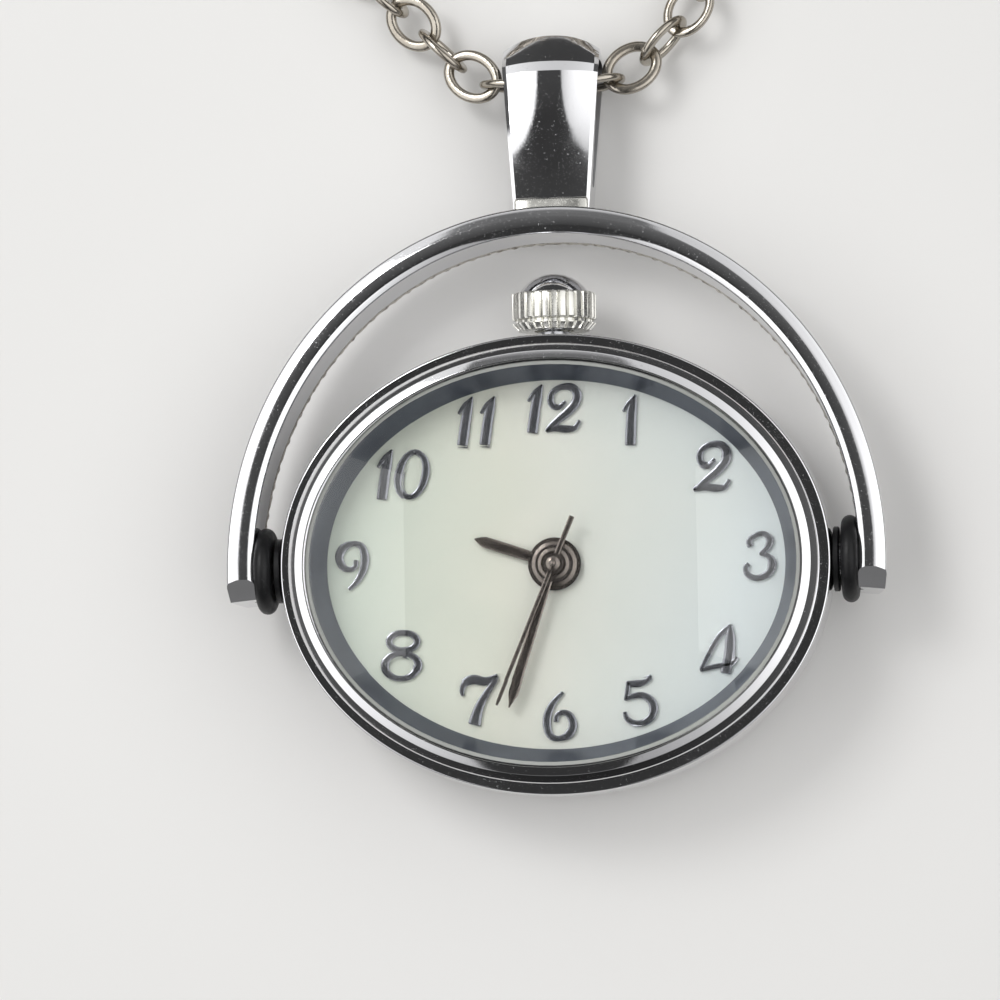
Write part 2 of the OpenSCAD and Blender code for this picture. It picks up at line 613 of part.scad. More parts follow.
module figure(n, lean = 0) {
    if (n == 0) ring_figure(0.34, 0.49, 0.33, 0.49, 0.15, 0.1, lean_of_zero);
    if (n == 1) strokes(digit_one, lean);
    if (n == 2) strokes(digit_two);
    if (n == 3) strokes(digit_three);
    if (n == 4) strokes(digit_four);
    if (n == 5) strokes(digit_five);
    if (n == 6) strokes(digit_six);
    if (n == 7) strokes(digit_seven);
    if (n == 8) {
        ring_figure(0.45, 0.77, 0.33, 0.23, 0.13, 0.11);
        ring_figure(0.41, 0.29, 0.4, 0.29, 0.15, 0.1);
    }
    if (n == 9) translate([0.7, 0.99]) rotate([0, 0, 180]) strokes(digit_six);
}
module numeral(hour) {
    pitch = hour == 11 ? ones_pitch : digit_pitch;
    w = (hour > 9 ? pitch : 0) + figure_widths[hour % 10];
    scale([numeral_h, numeral_h]) translate([-w / 2, -0.5]) {
        if (hour > 9) figure(1);
        translate([hour > 9 ? pitch : 0, 0]) figure(hour % 10, hour == 1 ? lean_of_lone_one : 0);
    }
}
module hour_numerals() {
    metal() for (hour = [1:12]) translate([numeral_at[hour - 1].x, numeral_at[hour - 1].y, dial_top])
        linear_extrude(numeral_t) numeral(hour);
}
back_step_z = 0.45; // where the back narrows to hold its gasket
back_step = 0.5;
module case_back() {
    metal() difference() {
        union() {
            oval_tiers(dial_a, dial_b, [[0.3, -1, back_step_z], [0.12, 0.12, back_step_z],
                [0, 0.25, back_step_z]]);
            oval(dial_a - back_step, dial_b - back_step, back_t - 0.1, 0.1);
        }
        translate([-case_a, -case_b, -2]) cube([2 * case_a, 2 * case_b, 2]); // outer face
    }
}
module case_back_gasket() {
    black() difference() {
        oval(dial_a, dial_b, back_t - back_step_z, back_step_z);
        oval(dial_a - back_step, dial_b - back_step, 2, 0);
    }
}

// Movement

module move_outline(grow = 0) {
    intersection() {
        square([move_w + 2 * grow, move_l + 2 * grow], center = true);
        circle(move_r + grow);
    }
}
module movement_holder() {
    color([0.88, 0.88, 0.86]) difference() {
        oval(dial_a, dial_b, dial_z - back_t - 0.02, back_t + 0.02);
        translate([0, 0, back_t - 1]) linear_extrude(6) move_outline(seat_gap);
        along_y(0) cylinder(r = tube_r, h = 20);
    }
}
module main_plate() {
    brass() union() {
        difference() {
            translate([0, 0, plate_z]) linear_extrude(plate_t) move_outline();
            disc(hour_bore_r + 0.05, 5, plate_z - 1);
            translate([battery_at.x, battery_at.y, 0]) disc(battery_r + 0.05, 5, plate_z - 1);
            translate([-0.85, slide_pinion_y - 0.7, plate_z - 1])
                cube([1.7, stem_guide_y - slide_pinion_y + 0.7, 4]);
            along_y(stem_guide_y - 0.5) cylinder(r = stem_r + run_gap, h = 5);
            for (p = [third_axis, fifth_axis, rotor_axis]) translate([p.x, p.y, plate_z - 1])
                cylinder(r = pivot_hole_r, h = 1.6);
        }
        translate([minute_axis.x, minute_axis.y, 0]) disc(0.2, 0.42, plate_top);
        for (p = pillars) translate([p.x, p.y, 0]) pillar();
    }
}
pillars = [[6.3, -5.2], [6.6, 2.1], [0.3, -4.6]];
pillar_r = 0.55;
screw_r = 0.25;
module pillar() { tube(pillar_r, screw_r, plate_z - bridge_z - bridge_t, bridge_z + bridge_t); }
module train_bridge() {
    brass() difference() {
        translate([0, 0, bridge_z]) linear_extrude(bridge_t) hull() {
            for (p = pillars) translate([p.x, p.y]) circle(0.9);
            translate([0, 0]) circle(0.9);
        }
        for (p = pillars) translate([p.x, p.y, 0]) disc(screw_r + 0.02, 3, bridge_z - 1);
        for (p = [[0, 0], third_axis, fifth_axis, rotor_axis]) translate([p.x, p.y, 0])
            disc(pivot_hole_r, 3, bridge_z - 1);
    }
}
module bridge_screws() {
    steel() for (p = pillars) translate([p.x, p.y, 0]) difference() {
        union() {
            disc(0.5, 0.18, bridge_z - 0.18);
            disc(screw_r, bridge_t + 0.8, bridge_z);
        }
        translate([-0.6, -0.06, bridge_z - 0.28]) cube([1.2, 0.12, 0.2]);
    }
}
module battery_cell() {
    steel() translate([battery_at.x, battery_at.y, battery_z]) union() {
        disc(battery_r, battery_h - 0.5, 0);
        disc(battery_r - 0.5, 0.5, battery_h - 0.5);
    }
}
module battery_clip() {
    steel() union() {
        translate([battery_at.x - 0.6, battery_at.y - 3.6, battery_z - 0.12]) cube([1.2, 6.4, 0.12]);
        translate([battery_at.x - 0.6, battery_at.y + 2.8, battery_z - 0.12]) cube([5.2, 1, 0.12]);
    }
}
board_z = move_z + 0.7;
board_t = 0.2;
can_r = 0.32;
module circuit_board() {
    color([0.16, 0.36, 0.22]) union() {
        translate([-7.1, 1.6, board_z]) cube([5.1, 4.4, board_t]);
        translate([-6.9, 1.8, board_z + board_t]) cube([1.6, 1.6, 0.35]);
    }
}
module quartz_can() {
    steel() translate([-6.6, 5.2, board_z + board_t + can_r]) rotate([0, 90, 0])
        cylinder(r = can_r, h = 4.2);
}
coil_y = -6.5;
coil_z = plate_z - 0.62;
coil_x = [-1.2, 4.6];
module coil() {
    color([0.7, 0.36, 0.16]) translate([coil_x[0], coil_y, coil_z]) rotate([0, 90, 0])
        tube(0.6, 0.3, coil_x[1] - coil_x[0]);
}
module coil_core() {
    steel() union() {
        translate([coil_x[0] - 0.7, coil_y, coil_z]) rotate([0, 90, 0])
            cylinder(r = 0.3, h = coil_x[1] - coil_x[0] + 1.4);
        for (x = [coil_x[0] - 0.6, coil_x[1] + 0.1]) translate([x, coil_y - 0.55, coil_z - 0.2])
            cube([0.5, 1.1, 0.4]);
    }
}
magnet_r = 0.55;
module stator() {
    steel() difference() {
        union() {
            translate([rotor_axis.x - 1.2, rotor_axis.y - 1.1, train_z]) cube([2.4, 2.2, 0.3]);
            translate([rotor_axis.x + 0.6, coil_y + 0.62, train_z])
                cube([1.1, rotor_axis.y - coil_y + 0.3, 0.3]);
        }
        translate([rotor_axis.x, rotor_axis.y, 0]) disc(magnet_r + 0.2, 3, train_z - 1);
    }
}
module setting_lever() {
    steel() difference() {
        translate([1.1, 3.4, plate_z - 0.22]) cube([2.6, 3.6, 0.18]);
        translate([2.6, 4.2, 0]) disc(0.3, 3, plate_z - 1);
    }
}

// Wheels

function tooth(n, m, k) = let (p = 360 / n, tip = m * (n / 2 + 0.8), root = m * (n / 2 - 1.1))
    [polar(root, (k - 0.27) * p), polar(tip, (k - 0.1) * p), polar(tip, (k + 0.1) * p),
        polar(root, (k + 0.27) * p)];
// Toothed wheel; turn is the direction that its first tooth points
module gear(n, m, h, z, bore, turn = 0) {
    translate([0, 0, z]) rotate([0, 0, turn]) difference() {
        linear_extrude(h) polygon([for (k = [0:n - 1]) each tooth(n, m, k)]);
        translate([0, 0, -1]) cylinder(r = bore, h = h + 2);
    }
}
// Turn of a wheel so that a gap of it faces a tooth of its neighbour, seen from the neighbour
function mesh_turn(n, dir) = dir + 180 + 180 / n;

module cannon_pinion() {
    brass() union() {
        tube(cannon_r, cannon_bore_r, minute_hand_z + hand_t - plate_z - 0.1, plate_z + 0.1);
        gear(cannon_n, motion_m, 0.2, cannon_z, cannon_bore_r + 0.01, motion_dir);
    }
}
module minute_wheel() {
    brass() translate([minute_axis.x, minute_axis.y, 0]) difference() {
        union() {
            gear(minute_wheel_n, motion_m, gear_t, cannon_z, 0.1, mesh_turn(minute_wheel_n, motion_dir));
            gear(minute_pinion_n, motion_m, hour_wheel_z + gear_t - cannon_z, cannon_z, 0.1,
                motion_dir + 180);
        }
        disc(0.2 + run_gap, 3, cannon_z - 1);
    }
}
module hour_wheel() {
    brass() union() {
        tube(hour_tube_r, hour_bore_r, hour_hand_z + hand_t - hour_wheel_z, hour_wheel_z);
        gear(hour_wheel_n, motion_m, gear_t, hour_wheel_z, hour_bore_r + 0.01,
            mesh_turn(hour_wheel_n, motion_dir + 180));
    }
}
module arbor(z0, z1) { // thin pivots at both ends, carried in the bridge and the plate
    disc(pivot_r, z1 - z0, z0);
    disc(arbor_r, plate_z - 0.04 - (bridge_z + bridge_t + 0.04), bridge_z + bridge_t + 0.04);
}
module centre_wheel() {
    brass() union() {
        tube(centre_tube_r, arbor_r + run_gap, minute_hand_z - centre_z - 0.2, centre_z);
        gear(centre_n, centre_m, gear_t, centre_z, centre_tube_r - 0.01,
            mesh_turn(centre_n, third_dir + 180));
    }
}
module fourth_wheel() {
    brass() union() {
        disc(pivot_r, 0.5, bridge_z + 0.02);
        disc(arbor_r, second_hand_z + 0.2 - (bridge_z + bridge_t + 0.04), bridge_z + bridge_t + 0.04);
        gear(fourth_n, fast_m, gear_t, train_z, arbor_r - 0.01, mesh_turn(fourth_n, fifth_dir + 180));
        gear(fourth_pinion_n, slow_m, gear_t + 0.04, third_z - 0.02, arbor_r - 0.01, third_dir);
    }
}
module third_wheel() {
    brass() translate([third_axis.x, third_axis.y, 0]) union() {
        arbor(bridge_z + 0.02, plate_z + 0.4);
        gear(third_n, slow_m, gear_t, third_z, arbor_r - 0.01, mesh_turn(third_n, third_dir));
        gear(third_pinion_n, centre_m, gear_t + 0.04, centre_z - 0.02, arbor_r - 0.01, third_dir + 180);
    }
}
module fifth_wheel() {
    brass() translate([fifth_axis.x, fifth_axis.y, 0]) union() {
        arbor(bridge_z + 0.02, plate_z + 0.4);
        gear(fifth_pinion_n, fast_m, gear_t + 0.04, train_z - 0.02, arbor_r - 0.01, fifth_dir + 180);
        gear(fifth_n, fast_m, gear_t, fifth_z, arbor_r - 0.01, mesh_turn(fifth_n, rotor_dir + 180));
    }
}
module rotor() {
    steel() translate([rotor_axis.x, rotor_axis.y, 0]) union() {
        arbor(bridge_z + 0.02, plate_z + 0.4);
        disc(magnet_r, 0.3, train_z);
        gear(rotor_n, fast_m, gear_t + 0.04, fifth_z - 0.02, arbor_r - 0.01, rotor_dir + 180);
    }
}

// Hands, each one pointing along +Y before it is turned to its time

module turned(clockwise) { rotate([0, 0, -clockwise]) children(); }
module pointer(len, w_root, w_mid, tip, t, z) {
    translate([0, 0, z]) linear_extrude(t) polygon([[-w_root / 2, 0], [w_root / 2, 0],
        [w_mid / 2, len - tip], [0, len], [-w_mid / 2, len - tip]]);
}
module hour_hand() {
    dark() turned(hour_at) difference() {
        union() {
            pointer(hour_len, 0.42, 0.56, 0.55, hand_t, hour_hand_z);
            disc(hour_hub_r, hand_t, hour_hand_z);
            tube(hour_hub_r - 0.12, hour_hub_r - 0.42, 0.1, hour_hand_z + hand_t);
        }
        disc(hour_tube_r, 2, hour_hand_z - 1);
    }
}
module minute_hand() {
    dark() turned(minute_at) difference() {
        union() {
            pointer(minute_len, 0.34, 0.46, 0.6, hand_t, minute_hand_z);
            disc(minute_hub_r, hand_t, minute_hand_z);
            tube(minute_hub_r - 0.08, minute_hub_r - 0.32, 0.08, minute_hand_z + hand_t);
        }
        disc(cannon_r, 2, minute_hand_z - 1);
    }
}
second_tail = 2.45;
module second_hand() {
    dark() turned(second_at) difference() {
        union() {
            translate([-0.1, -second_tail, second_hand_z]) cube([0.2, second_tail + second_len, hand_t * 0.8]);
            disc(second_hub_r, hand_t, second_hand_z);
            disc(0.26, 0.3, second_hand_z);
        }
        disc(arbor_r, 2, second_hand_z - 1.8);
    }
}

// Crown and stem

module flute_outline() {
    polygon([for (k = [0:flutes - 1]) each [polar(crown_r - 0.12, (k - 0.34) * 360 / flutes),
        polar(crown_r, (k - 0.22) * 360 / flutes), polar(crown_r, (k + 0.22) * 360 / flutes),
        polar(crown_r - 0.12, (k + 0.34) * 360 / flutes)]]);
}
module crown() {
    dome_bow = (pow(dome_r, 2) + pow(dome_h, 2)) / (2 * dome_h);
    metal() along_y(crown_y) difference() {
        union() {
            intersection() {
                linear_extrude(crown_h) flute_outline();
                rotate_extrude() polygon([[0, 0], [crown_r - 0.3, 0], [crown_r, crown_skirt],
                    [crown_r + 0.1, crown_h - 0.08], [crown_r - 0.05, crown_h], [0, crown_h]]);
            }
            intersection() {
                translate([0, 0, crown_h + dome_h - dome_bow]) sphere(dome_bow);
                cylinder(r = dome_r, h = crown_h + dome_h + 1);
            }
        }
        translate([0, 0, crown_skirt]) tube(crown_r + 1, crown_r - 0.2, crown_groove);
        translate([0, 0, -0.1]) cylinder(r = tube_r + 0.15, h = 1.1); // recess over the crown tube
        translate([0, 0, 0.5]) cylinder(r = stem_r, h = 1.1); // stem seat
    }
}
module stem() {
    steel() along_y(0) union() {
        translate([0, 0, stem_guide_y - 0.2]) cylinder(r = stem_r, h = crown_y + 1.6 - stem_guide_y + 0.2);
        translate([-stem_square / 2, -stem_square / 2, slide_pinion_y - 0.2])
            cube([stem_square, stem_square, stem_guide_y - slide_pinion_y + 0.4]);
    }
}
module crown_gasket() {
    black() along_y(tube_out - 1.35) tube(tube_bore_r - run_gap, stem_r, 0.5);
}
module sliding_pinion() {
    hole = stem_square + 2 * run_gap;
    steel() along_y(slide_pinion_y) difference() {
        union() {
            gear(12, 0.09, 0.3, 0, 0.1);
            translate([0, 0, 0.3]) cylinder(r = slide_pinion_r - 0.15, h = slide_pinion_l - 0.5);
            translate([0, 0, slide_pinion_l - 0.2]) cylinder(r = slide_pinion_r, h = 0.2);
        }
        translate([-hole / 2, -hole / 2, -1]) cube([hole, hole, 4]);
    }
}

yoke_arch();
bail();
pivot_pin_left();
pivot_pin_right();
o_ring_left();
o_ring_right();
friction_washer_left();
friction_washer_right();
chain_left();
chain_right();
end_rings();
clasp_body();
clasp_lever();
clasp_pin();
case_middle();
pivot_tubes();
crown_tube();
bezel();
crystal();
crystal_gasket();
flange_ring();
dial();
hour_numerals();
movement_holder();
main_plate();
train_bridge();
bridge_screws();
battery_cell();
battery_clip();
circuit_board();
quartz_can();
coil();
coil_core();
stator();
setting_lever();
case_back();
case_back_gasket();
crown();
stem();
crown_gasket();
sliding_pinion();
hour_hand();
hour_wheel();
minute_hand();
cannon_pinion();
minute_wheel();
second_hand();
fourth_wheel();
third_wheel();
fifth_wheel();
rotor();
centre_wheel();
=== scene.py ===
"""Pendant watch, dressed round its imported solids.

Shapes are worked out in millimetres, in the same frame as the solids, and turned to metres
when a piece is made: +Z out of the dial, +Y to 12 o'clock, +X to 3 o'clock.
"""
import math

import bmesh
import bpy
import numpy as np
from mathutils import Matrix, Vector


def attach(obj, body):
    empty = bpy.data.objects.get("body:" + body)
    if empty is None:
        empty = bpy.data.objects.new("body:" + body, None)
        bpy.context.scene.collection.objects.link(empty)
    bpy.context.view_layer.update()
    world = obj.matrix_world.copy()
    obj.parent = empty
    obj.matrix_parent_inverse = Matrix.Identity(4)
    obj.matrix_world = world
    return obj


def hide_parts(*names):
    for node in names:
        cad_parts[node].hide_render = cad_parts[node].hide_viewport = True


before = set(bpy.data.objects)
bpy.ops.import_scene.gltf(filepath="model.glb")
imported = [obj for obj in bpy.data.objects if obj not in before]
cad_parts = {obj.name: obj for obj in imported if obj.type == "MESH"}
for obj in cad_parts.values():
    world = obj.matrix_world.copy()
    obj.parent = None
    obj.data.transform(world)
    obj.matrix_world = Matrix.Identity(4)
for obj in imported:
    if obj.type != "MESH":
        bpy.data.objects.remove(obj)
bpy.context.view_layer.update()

MM = 0.001


def in_scene(name, data):
    """A new object with its data, linked to the scene."""
    made = bpy.data.objects.new(name, data)
    bpy.context.collection.objects.link(made)
    return made


def mesh_of(name, points, faces, materials=()):
    """A new mesh from points in millimetres."""
    mesh = bpy.data.meshes.new(name)
    mesh.from_pydata([Vector(p) * MM for p in points], [], faces)
    for material in materials:
        mesh.materials.append(material)
    return mesh


# Camera

AIM = Vector((-2.69, 3.2, 4.0))  # the point that the middle of the picture looks at
SIDE_ANGLE, TILT, ROLL = math.radians(6.5), math.radians(3.6), math.radians(-0.95)
DISTANCE = 250.0
FOCAL_PIXELS, PICTURE_WIDTH, SENSOR = 5172.0, 1000, 36.0

away = Vector((math.sin(SIDE_ANGLE) * math.cos(TILT), -math.sin(TILT),
               math.cos(SIDE_ANGLE) * math.cos(TILT)))
right = (-away).cross(Vector((0, 1, 0))).normalized()
up = right.cross(-away)
level_right = right * math.cos(ROLL) + up * math.sin(ROLL)
level_up = up * math.cos(ROLL) - right * math.sin(ROLL)
camera_data = bpy.data.cameras.new("camera")
camera_data.sensor_width = SENSOR
camera_data.lens = FOCAL_PIXELS * SENSOR / PICTURE_WIDTH
camera_data.clip_start, camera_data.clip_end = 0.01, 10
camera = in_scene("camera", camera_data)
camera.matrix_world = Matrix.Translation((AIM + away * DISTANCE) * MM) @ Matrix(
    (level_right, level_up, away)).transposed().to_4x4()
bpy.context.scene.camera = camera
bpy.context.scene.view_settings.view_transform = "Standard"


# Materials

def colour(code):
    """An sRGB hex colour as the linear values that a shader takes."""
    parts = [int(code[i:i + 2], 16) / 255 for i in (1, 3, 5)]
    return [p / 12.92 if p <= 0.04045 else ((p + 0.055) / 1.055) ** 2.4 for p in parts] + [1]


def add(tree, kind, inputs=(), **settings):
    """Adds a node with its settings; inputs gives values or other nodes' outputs, by socket or
    in the sockets' order."""
    made = tree.nodes.new(kind)
    for name, value in settings.items():
        setattr(made, name, value)
    for name, value in inputs.items() if isinstance(inputs, dict) else enumerate(inputs):
        if isinstance(value, bpy.types.NodeSocket):
            tree.links.new(value, made.inputs[name])
        else:
            made.inputs[name].default_value = value
    return made


def finish(name, **values):
    """A new material with one Principled shader, the node tree and its position in the piece."""
    material = bpy.data.materials.new(name)
    material.use_nodes = True
    tree = material.node_tree
    shader = tree.nodes["Principled BSDF"]
    for key, value in values.items():
        shader.inputs[key.replace("_", " ")].default_value = value
    place = add(tree, "ShaderNodeTexCoord").outputs["Object"]
    return material, tree, shader, place


def grain(place, size, **inputs):
    """Inputs of a pattern: its place, and its scale from the millimetres it repeats at."""
    return {"Vector": place, "Scale": 1 / (size * MM), **inputs}


PATTERN_SPAN = (0.3, 0.7)  # the share of a noise's values that its roughness runs over


def vary(tree, shader, pattern, tint=None, rough=None, relief=None):
    """Lets a pattern vary a shader's colour between two, its roughness, and its relief, which is
    a strength and a depth in millimetres."""
    if tint:
        mixed = add(tree, "ShaderNodeMix", {0: pattern, 6: colour(tint[0]), 7: colour(tint[1])},
                    data_type="RGBA")
        tree.links.new(mixed.outputs[2], shader.inputs["Base Color"])
    if rough:
        dull = add(tree, "ShaderNodeMapRange", (pattern, *PATTERN_SPAN, *rough))
        tree.links.new(dull.outputs[0], shader.inputs["Roughness"])
    if relief:
        bump = add(tree, "ShaderNodeBump", {"Height": pattern, "Strength": relief[0],
                                            "Distance": relief[1] * MM})
        tree.links.new(bump.outputs[0], shader.inputs["Normal"])


# Rhodium plate over polished zinc alloy: a near mirror with the soft waviness of hand
# polishing, hairlines and a few specks of dust that break up the reflections.
def rhodium_plate(name, base, low, high, wave=0.004):
    material, tree, shader, place = finish(name, Metallic=1.0, Base_Color=colour(base))
    smudge = add(tree, "ShaderNodeTexNoise", grain(place, 2.2, Detail=3.0, Roughness=0.6))
    speck = add(tree, "ShaderNodeTexNoise", grain(place, 0.11, Detail=3.0, Roughness=0.7))
    # each range is a value, where it runs from and to, and what that becomes
    dust = add(tree, "ShaderNodeMapRange", (speck.outputs["Fac"], 0.58, 0.74, 0.0, 0.24))
    even = add(tree, "ShaderNodeMapRange", (smudge.outputs["Fac"], 0.35, 0.7, low, high))
    both = add(tree, "ShaderNodeMath", (even.outputs[0], dust.outputs[0]), operation="ADD")
    tree.links.new(both.outputs[0], shader.inputs["Roughness"])
    waves = add(tree, "ShaderNodeTexNoise", grain(place, 1.6, Detail=1.0))
    pits = add(tree, "ShaderNodeBump", {"Height": speck.outputs["Fac"], "Strength": 0.25,
                                        "Distance": 0.002 * MM})
    bump = add(tree, "ShaderNodeBump", {"Height": waves.outputs["Fac"], "Strength": 1.0,
                                        "Distance": wave * MM, "Normal": pits.outputs[0]})
    tree.links.new(bump.outputs[0], shader.inputs["Normal"])
    return material


# Bright plate, and the satin plate of the crown's flutes and the bail's foot.
polished_plate = rhodium_plate("rhodium_plate_polished", "#e2e2e4", 0.03, 0.1)
satin_plate = rhodium_plate("rhodium_plate_satin_flutes", "#dddcd6", 0.2, 0.32, 0.003)


# As-cast seam inside the arch: the plate follows the rough parting line of the casting.
def cast_seam():
    material, tree, shader, place = finish("rhodium_plate_cast_seam", Metallic=1.0,
                                           Base_Color=colour("#cfcac2"), Roughness=0.22)
    lumps = add(tree, "ShaderNodeTexVoronoi", grain(place, 0.3, Randomness=1.0))
    vary(tree, shader, lumps.outputs["Distance"], relief=(1.0, 0.09))
    return material


# Nickel plated steel wire, drawn and soldered: warmer and duller than the case, with a light
# tarnish that gathers in patches and fine marks along the wire.
def nickel_wire():
    material, tree, shader, place = finish("nickel_plate_chain_wire", Metallic=1.0)
    tarnish = add(tree, "ShaderNodeTexNoise", grain(place, 1.4, Detail=4.0, Roughness=0.6))
    marks = add(tree, "ShaderNodeTexNoise", grain(place, 0.14, Detail=2.0))
    vary(tree, shader, tarnish.outputs["Fac"], ("#c9c4ba", "#8b8174"), (0.1, 0.26))
    vary(tree, shader, marks.outputs["Fac"], relief=(0.6, 0.012))
    return material


# Moulded nitrile rubber: deep black with a soft broad shine and a little lint.
def nitrile_rubber():
    material, tree, shader, place = finish("nitrile_rubber_moulded", Specular_IOR_Level=0.3,
                                           IOR=1.52)
    lint = add(tree, "ShaderNodeTexNoise", grain(place, 0.22, Detail=3.0, Roughness=0.75))
    dusty = add(tree, "ShaderNodeMapRange", (lint.outputs["Fac"], 0.6, 0.72))
    vary(tree, shader, dusty.outputs[0], ("#0d0d0f", "#2b2b2d"))
    vary(tree, shader, lint.outputs["Fac"], rough=(0.34, 0.55), relief=(0.4, 0.01))
    return material


# Mineral glass, ground and polished into facets: clear, with bright edges where facets meet.
def mineral_glass():
    material, tree, shader, place = finish("mineral_glass_faceted")
    tree.nodes.remove(shader)
    smear = add(tree, "ShaderNodeTexNoise", grain(place, 5.0, Detail=2.0))
    rough = add(tree, "ShaderNodeMapRange", (smear.outputs["Fac"], 0.4, 0.8, 0.0, 0.03))
    glass = add(tree, "ShaderNodeBsdfGlass", {"Color": colour("#fdfdfc"), "IOR": 1.5,
                                              "Roughness": rough.outputs[0]})
    clear = add(tree, "ShaderNodeBsdfTransparent", {"Color": colour("#f9f9f8")})
    shadow = add(tree, "ShaderNodeLightPath").outputs["Is Shadow Ray"]
    mixed = add(tree, "ShaderNodeMixShader", (shadow, glass.outputs[0], clear.outputs[0]))
    tree.links.new(mixed.outputs[0], tree.nodes["Material Output"].inputs["Surface"])
    return material


# Mother of pearl, sliced and polished: milky green-white with slow billows and a drift of blue,
# and a painted rose sheen where the surface is seen edge-on, which stands for its soft shine from
# below the surface.
def mother_of_pearl():
    material, tree, shader, place = finish(
        "mother_of_pearl_polished", Roughness=0.3, IOR=1.55, Coat_Weight=0.25,
        Coat_Roughness=0.12, Specular_IOR_Level=0.4)
    warp = add(tree, "ShaderNodeTexNoise", grain(place, 9.0, Detail=2.0, Distortion=1.2))
    # the billows follow the warp's own values, so their scale isn't a size
    billow = add(tree, "ShaderNodeTexNoise", {"Vector": warp.outputs["Color"], "Scale": 5.0,
                                              "Detail": 3.0, "Roughness": 0.5})
    wide = add(tree, "ShaderNodeTexNoise", grain(place, 14.0, Detail=1.0))
    across = add(tree, "ShaderNodeSeparateXYZ", (place,))
    drift = add(tree, "ShaderNodeMath", (wide.outputs["Fac"], 8 * MM, across.outputs["X"]),
                operation="MULTIPLY_ADD")
    cool = add(tree, "ShaderNodeMapRange", (drift.outputs[0], 1 * MM, 13 * MM, 0.0, 0.8))
    green = add(tree, "ShaderNodeMapRange", (drift.outputs[0], -8 * MM, 3 * MM, 0.75, 0.0))
    # painted sheen: the base colour turns rose where the surface is seen edge-on
    painted_sheen = add(tree, "ShaderNodeLayerWeight", {"Blend": 0.35})
    tint = colour("#d9dcd2")
    for share, code in ((billow.outputs["Fac"], "#e9e7dd"), (cool.outputs[0], "#d4dfe6"),
                        (green.outputs[0], "#c6d5cb"), (painted_sheen.outputs["Facing"], "#ece0e2")):
        tint = add(tree, "ShaderNodeMix", {0: share, 6: tint, 7: colour(code)},
                   data_type="RGBA").outputs[2]
    tree.links.new(tint, shader.inputs["Base Color"])
    vary(tree, shader, billow.outputs["Fac"], relief=(0.3, 0.02))
    return material


# Turned metal with a fine grain of rings or lines: satin steel, brass plates and wheels.
def grained_metal(name, light, dark, rough, line, stretch=(1, 14, 1), relief=0.006,
                  uneven=0.07):
    material, tree, shader, place = finish(name, Metallic=1.0)
    drawn = add(tree, "ShaderNodeMapping", {"Vector": place, "Scale": stretch})
    lines = add(tree, "ShaderNodeTexNoise", grain(drawn.outputs[0], line, Detail=3.0))
    patch = add(tree, "ShaderNodeTexNoise", grain(place, 3.5, Detail=3.0))
    vary(tree, shader, patch.outputs["Fac"], (light, dark))
    vary(tree, shader, lines.outputs["Fac"], rough=(rough - uneven, rough + uneven),
         relief=(0.5, relief))
    return material


# Moulded, lacquered or anodised surfaces: a base tint, soft clouding and a fine skin.
def moulded(name, light, dark, low, high, size, relief=0.006, **values):
    material, tree, shader, place = finish(name, **values)
    cloud = add(tree, "ShaderNodeTexNoise", grain(place, size, Detail=4.0, Roughness=0.6))
    skin_noise = add(tree, "ShaderNodeTexNoise", grain(place, 0.12, Detail=2.0))
    vary(tree, shader, cloud.outputs["Fac"], (light, dark), (low, high))
    vary(tree, shader, skin_noise.outputs["Fac"], relief=(0.35, relief))
    return material


# Enamelled copper wire wound on a coil: orange gloss with fine parallel turns.
def wound_copper():
    material, tree, shader, place = finish("enamelled_copper_wire_wound", Metallic=1.0,
                                           Roughness=0.28, Coat_Weight=0.5,
                                           Coat_Roughness=0.1)
    turns = add(tree, "ShaderNodeTexWave", grain(place, 0.45, Distortion=0.3),
                bands_direction="X")
    vary(tree, shader, turns.outputs["Fac"], ("#6e2d12", "#cf7438"), relief=(1.0, 0.03))
    return material


seam_plate = cast_seam()
chain_nickel = nickel_wire()
black_nitrile = nitrile_rubber()
crystal_glass = mineral_glass()
pearl = mother_of_pearl()
wound_coil = wound_copper()
# Plate inside the bail's eye, rubbed dull by the chain.
eye_plate = grained_metal("rhodium_plate_rubbed_eye", "#c9c9cb", "#b4b4b6", 0.4, 0.8, (1, 1, 1))
# Silver plated raised figures: grey flat tops and bevels that catch the light.
figure_plate = grained_metal("silver_plate_raised_figures", "#94969e", "#888a92", 0.22, 0.9,
                             (1, 1, 1), 0.0003, 0.02)
# Black nickel plate on stamped hands: a dark mirror with a smoky brown cast.
black_nickel = grained_metal("black_nickel_plate_hands", "#8d8682", "#7e7773", 0.2, 0.9,
                             (1, 2, 1), 0.0003, 0.02)
# Turned stainless steel: a soft even grey with fine rings, on pins, tubes and the coil's iron.
satin_steel = grained_metal("stainless_steel_satin", "#c2c3c6", "#acadb1", 0.26, 0.9)
# Pressed stainless back, brushed straight: long faint lines across a calm satin.
brushed_back = grained_metal("stainless_steel_brushed_back", "#c9cacc", "#b9babd", 0.24, 1.6)
# The cell's drawn steel can: brighter and smoother than the turned parts.
cell_steel = grained_metal("stainless_steel_cell_can", "#cfd0d2", "#bcbdbf", 0.2, 1.2)
# Rolled brass, grained with a stone: warm yellow with close lines.
train_brass = grained_metal("brass_train_grained", "#d9b868", "#c19c4c", 0.26, 0.6)
# Anodised aluminium flange: blue-grey satin that goes nearly black away from the light.
flange_anodised = moulded("aluminium_anodised_slate", "#5b636f", "#474d57", 0.3, 0.33, 2.4,
                          0.0002, Metallic=0.6, Specular_IOR_Level=0.35)
# Moulded nylon gasket, grey and milky, which takes its tone from the metal round it.
gasket_nylon = moulded("nylon_moulded_gasket", "#aeb0ac", "#9fa19d", 0.42, 0.55, 0.8, IOR=1.53)
# Moulded acetal holder: waxy off-white with a dull shine.
holder_acetal = moulded("acetal_moulded_holder", "#e4e2d8", "#d8d6ca", 0.4, 0.55, 1.8, IOR=1.48)
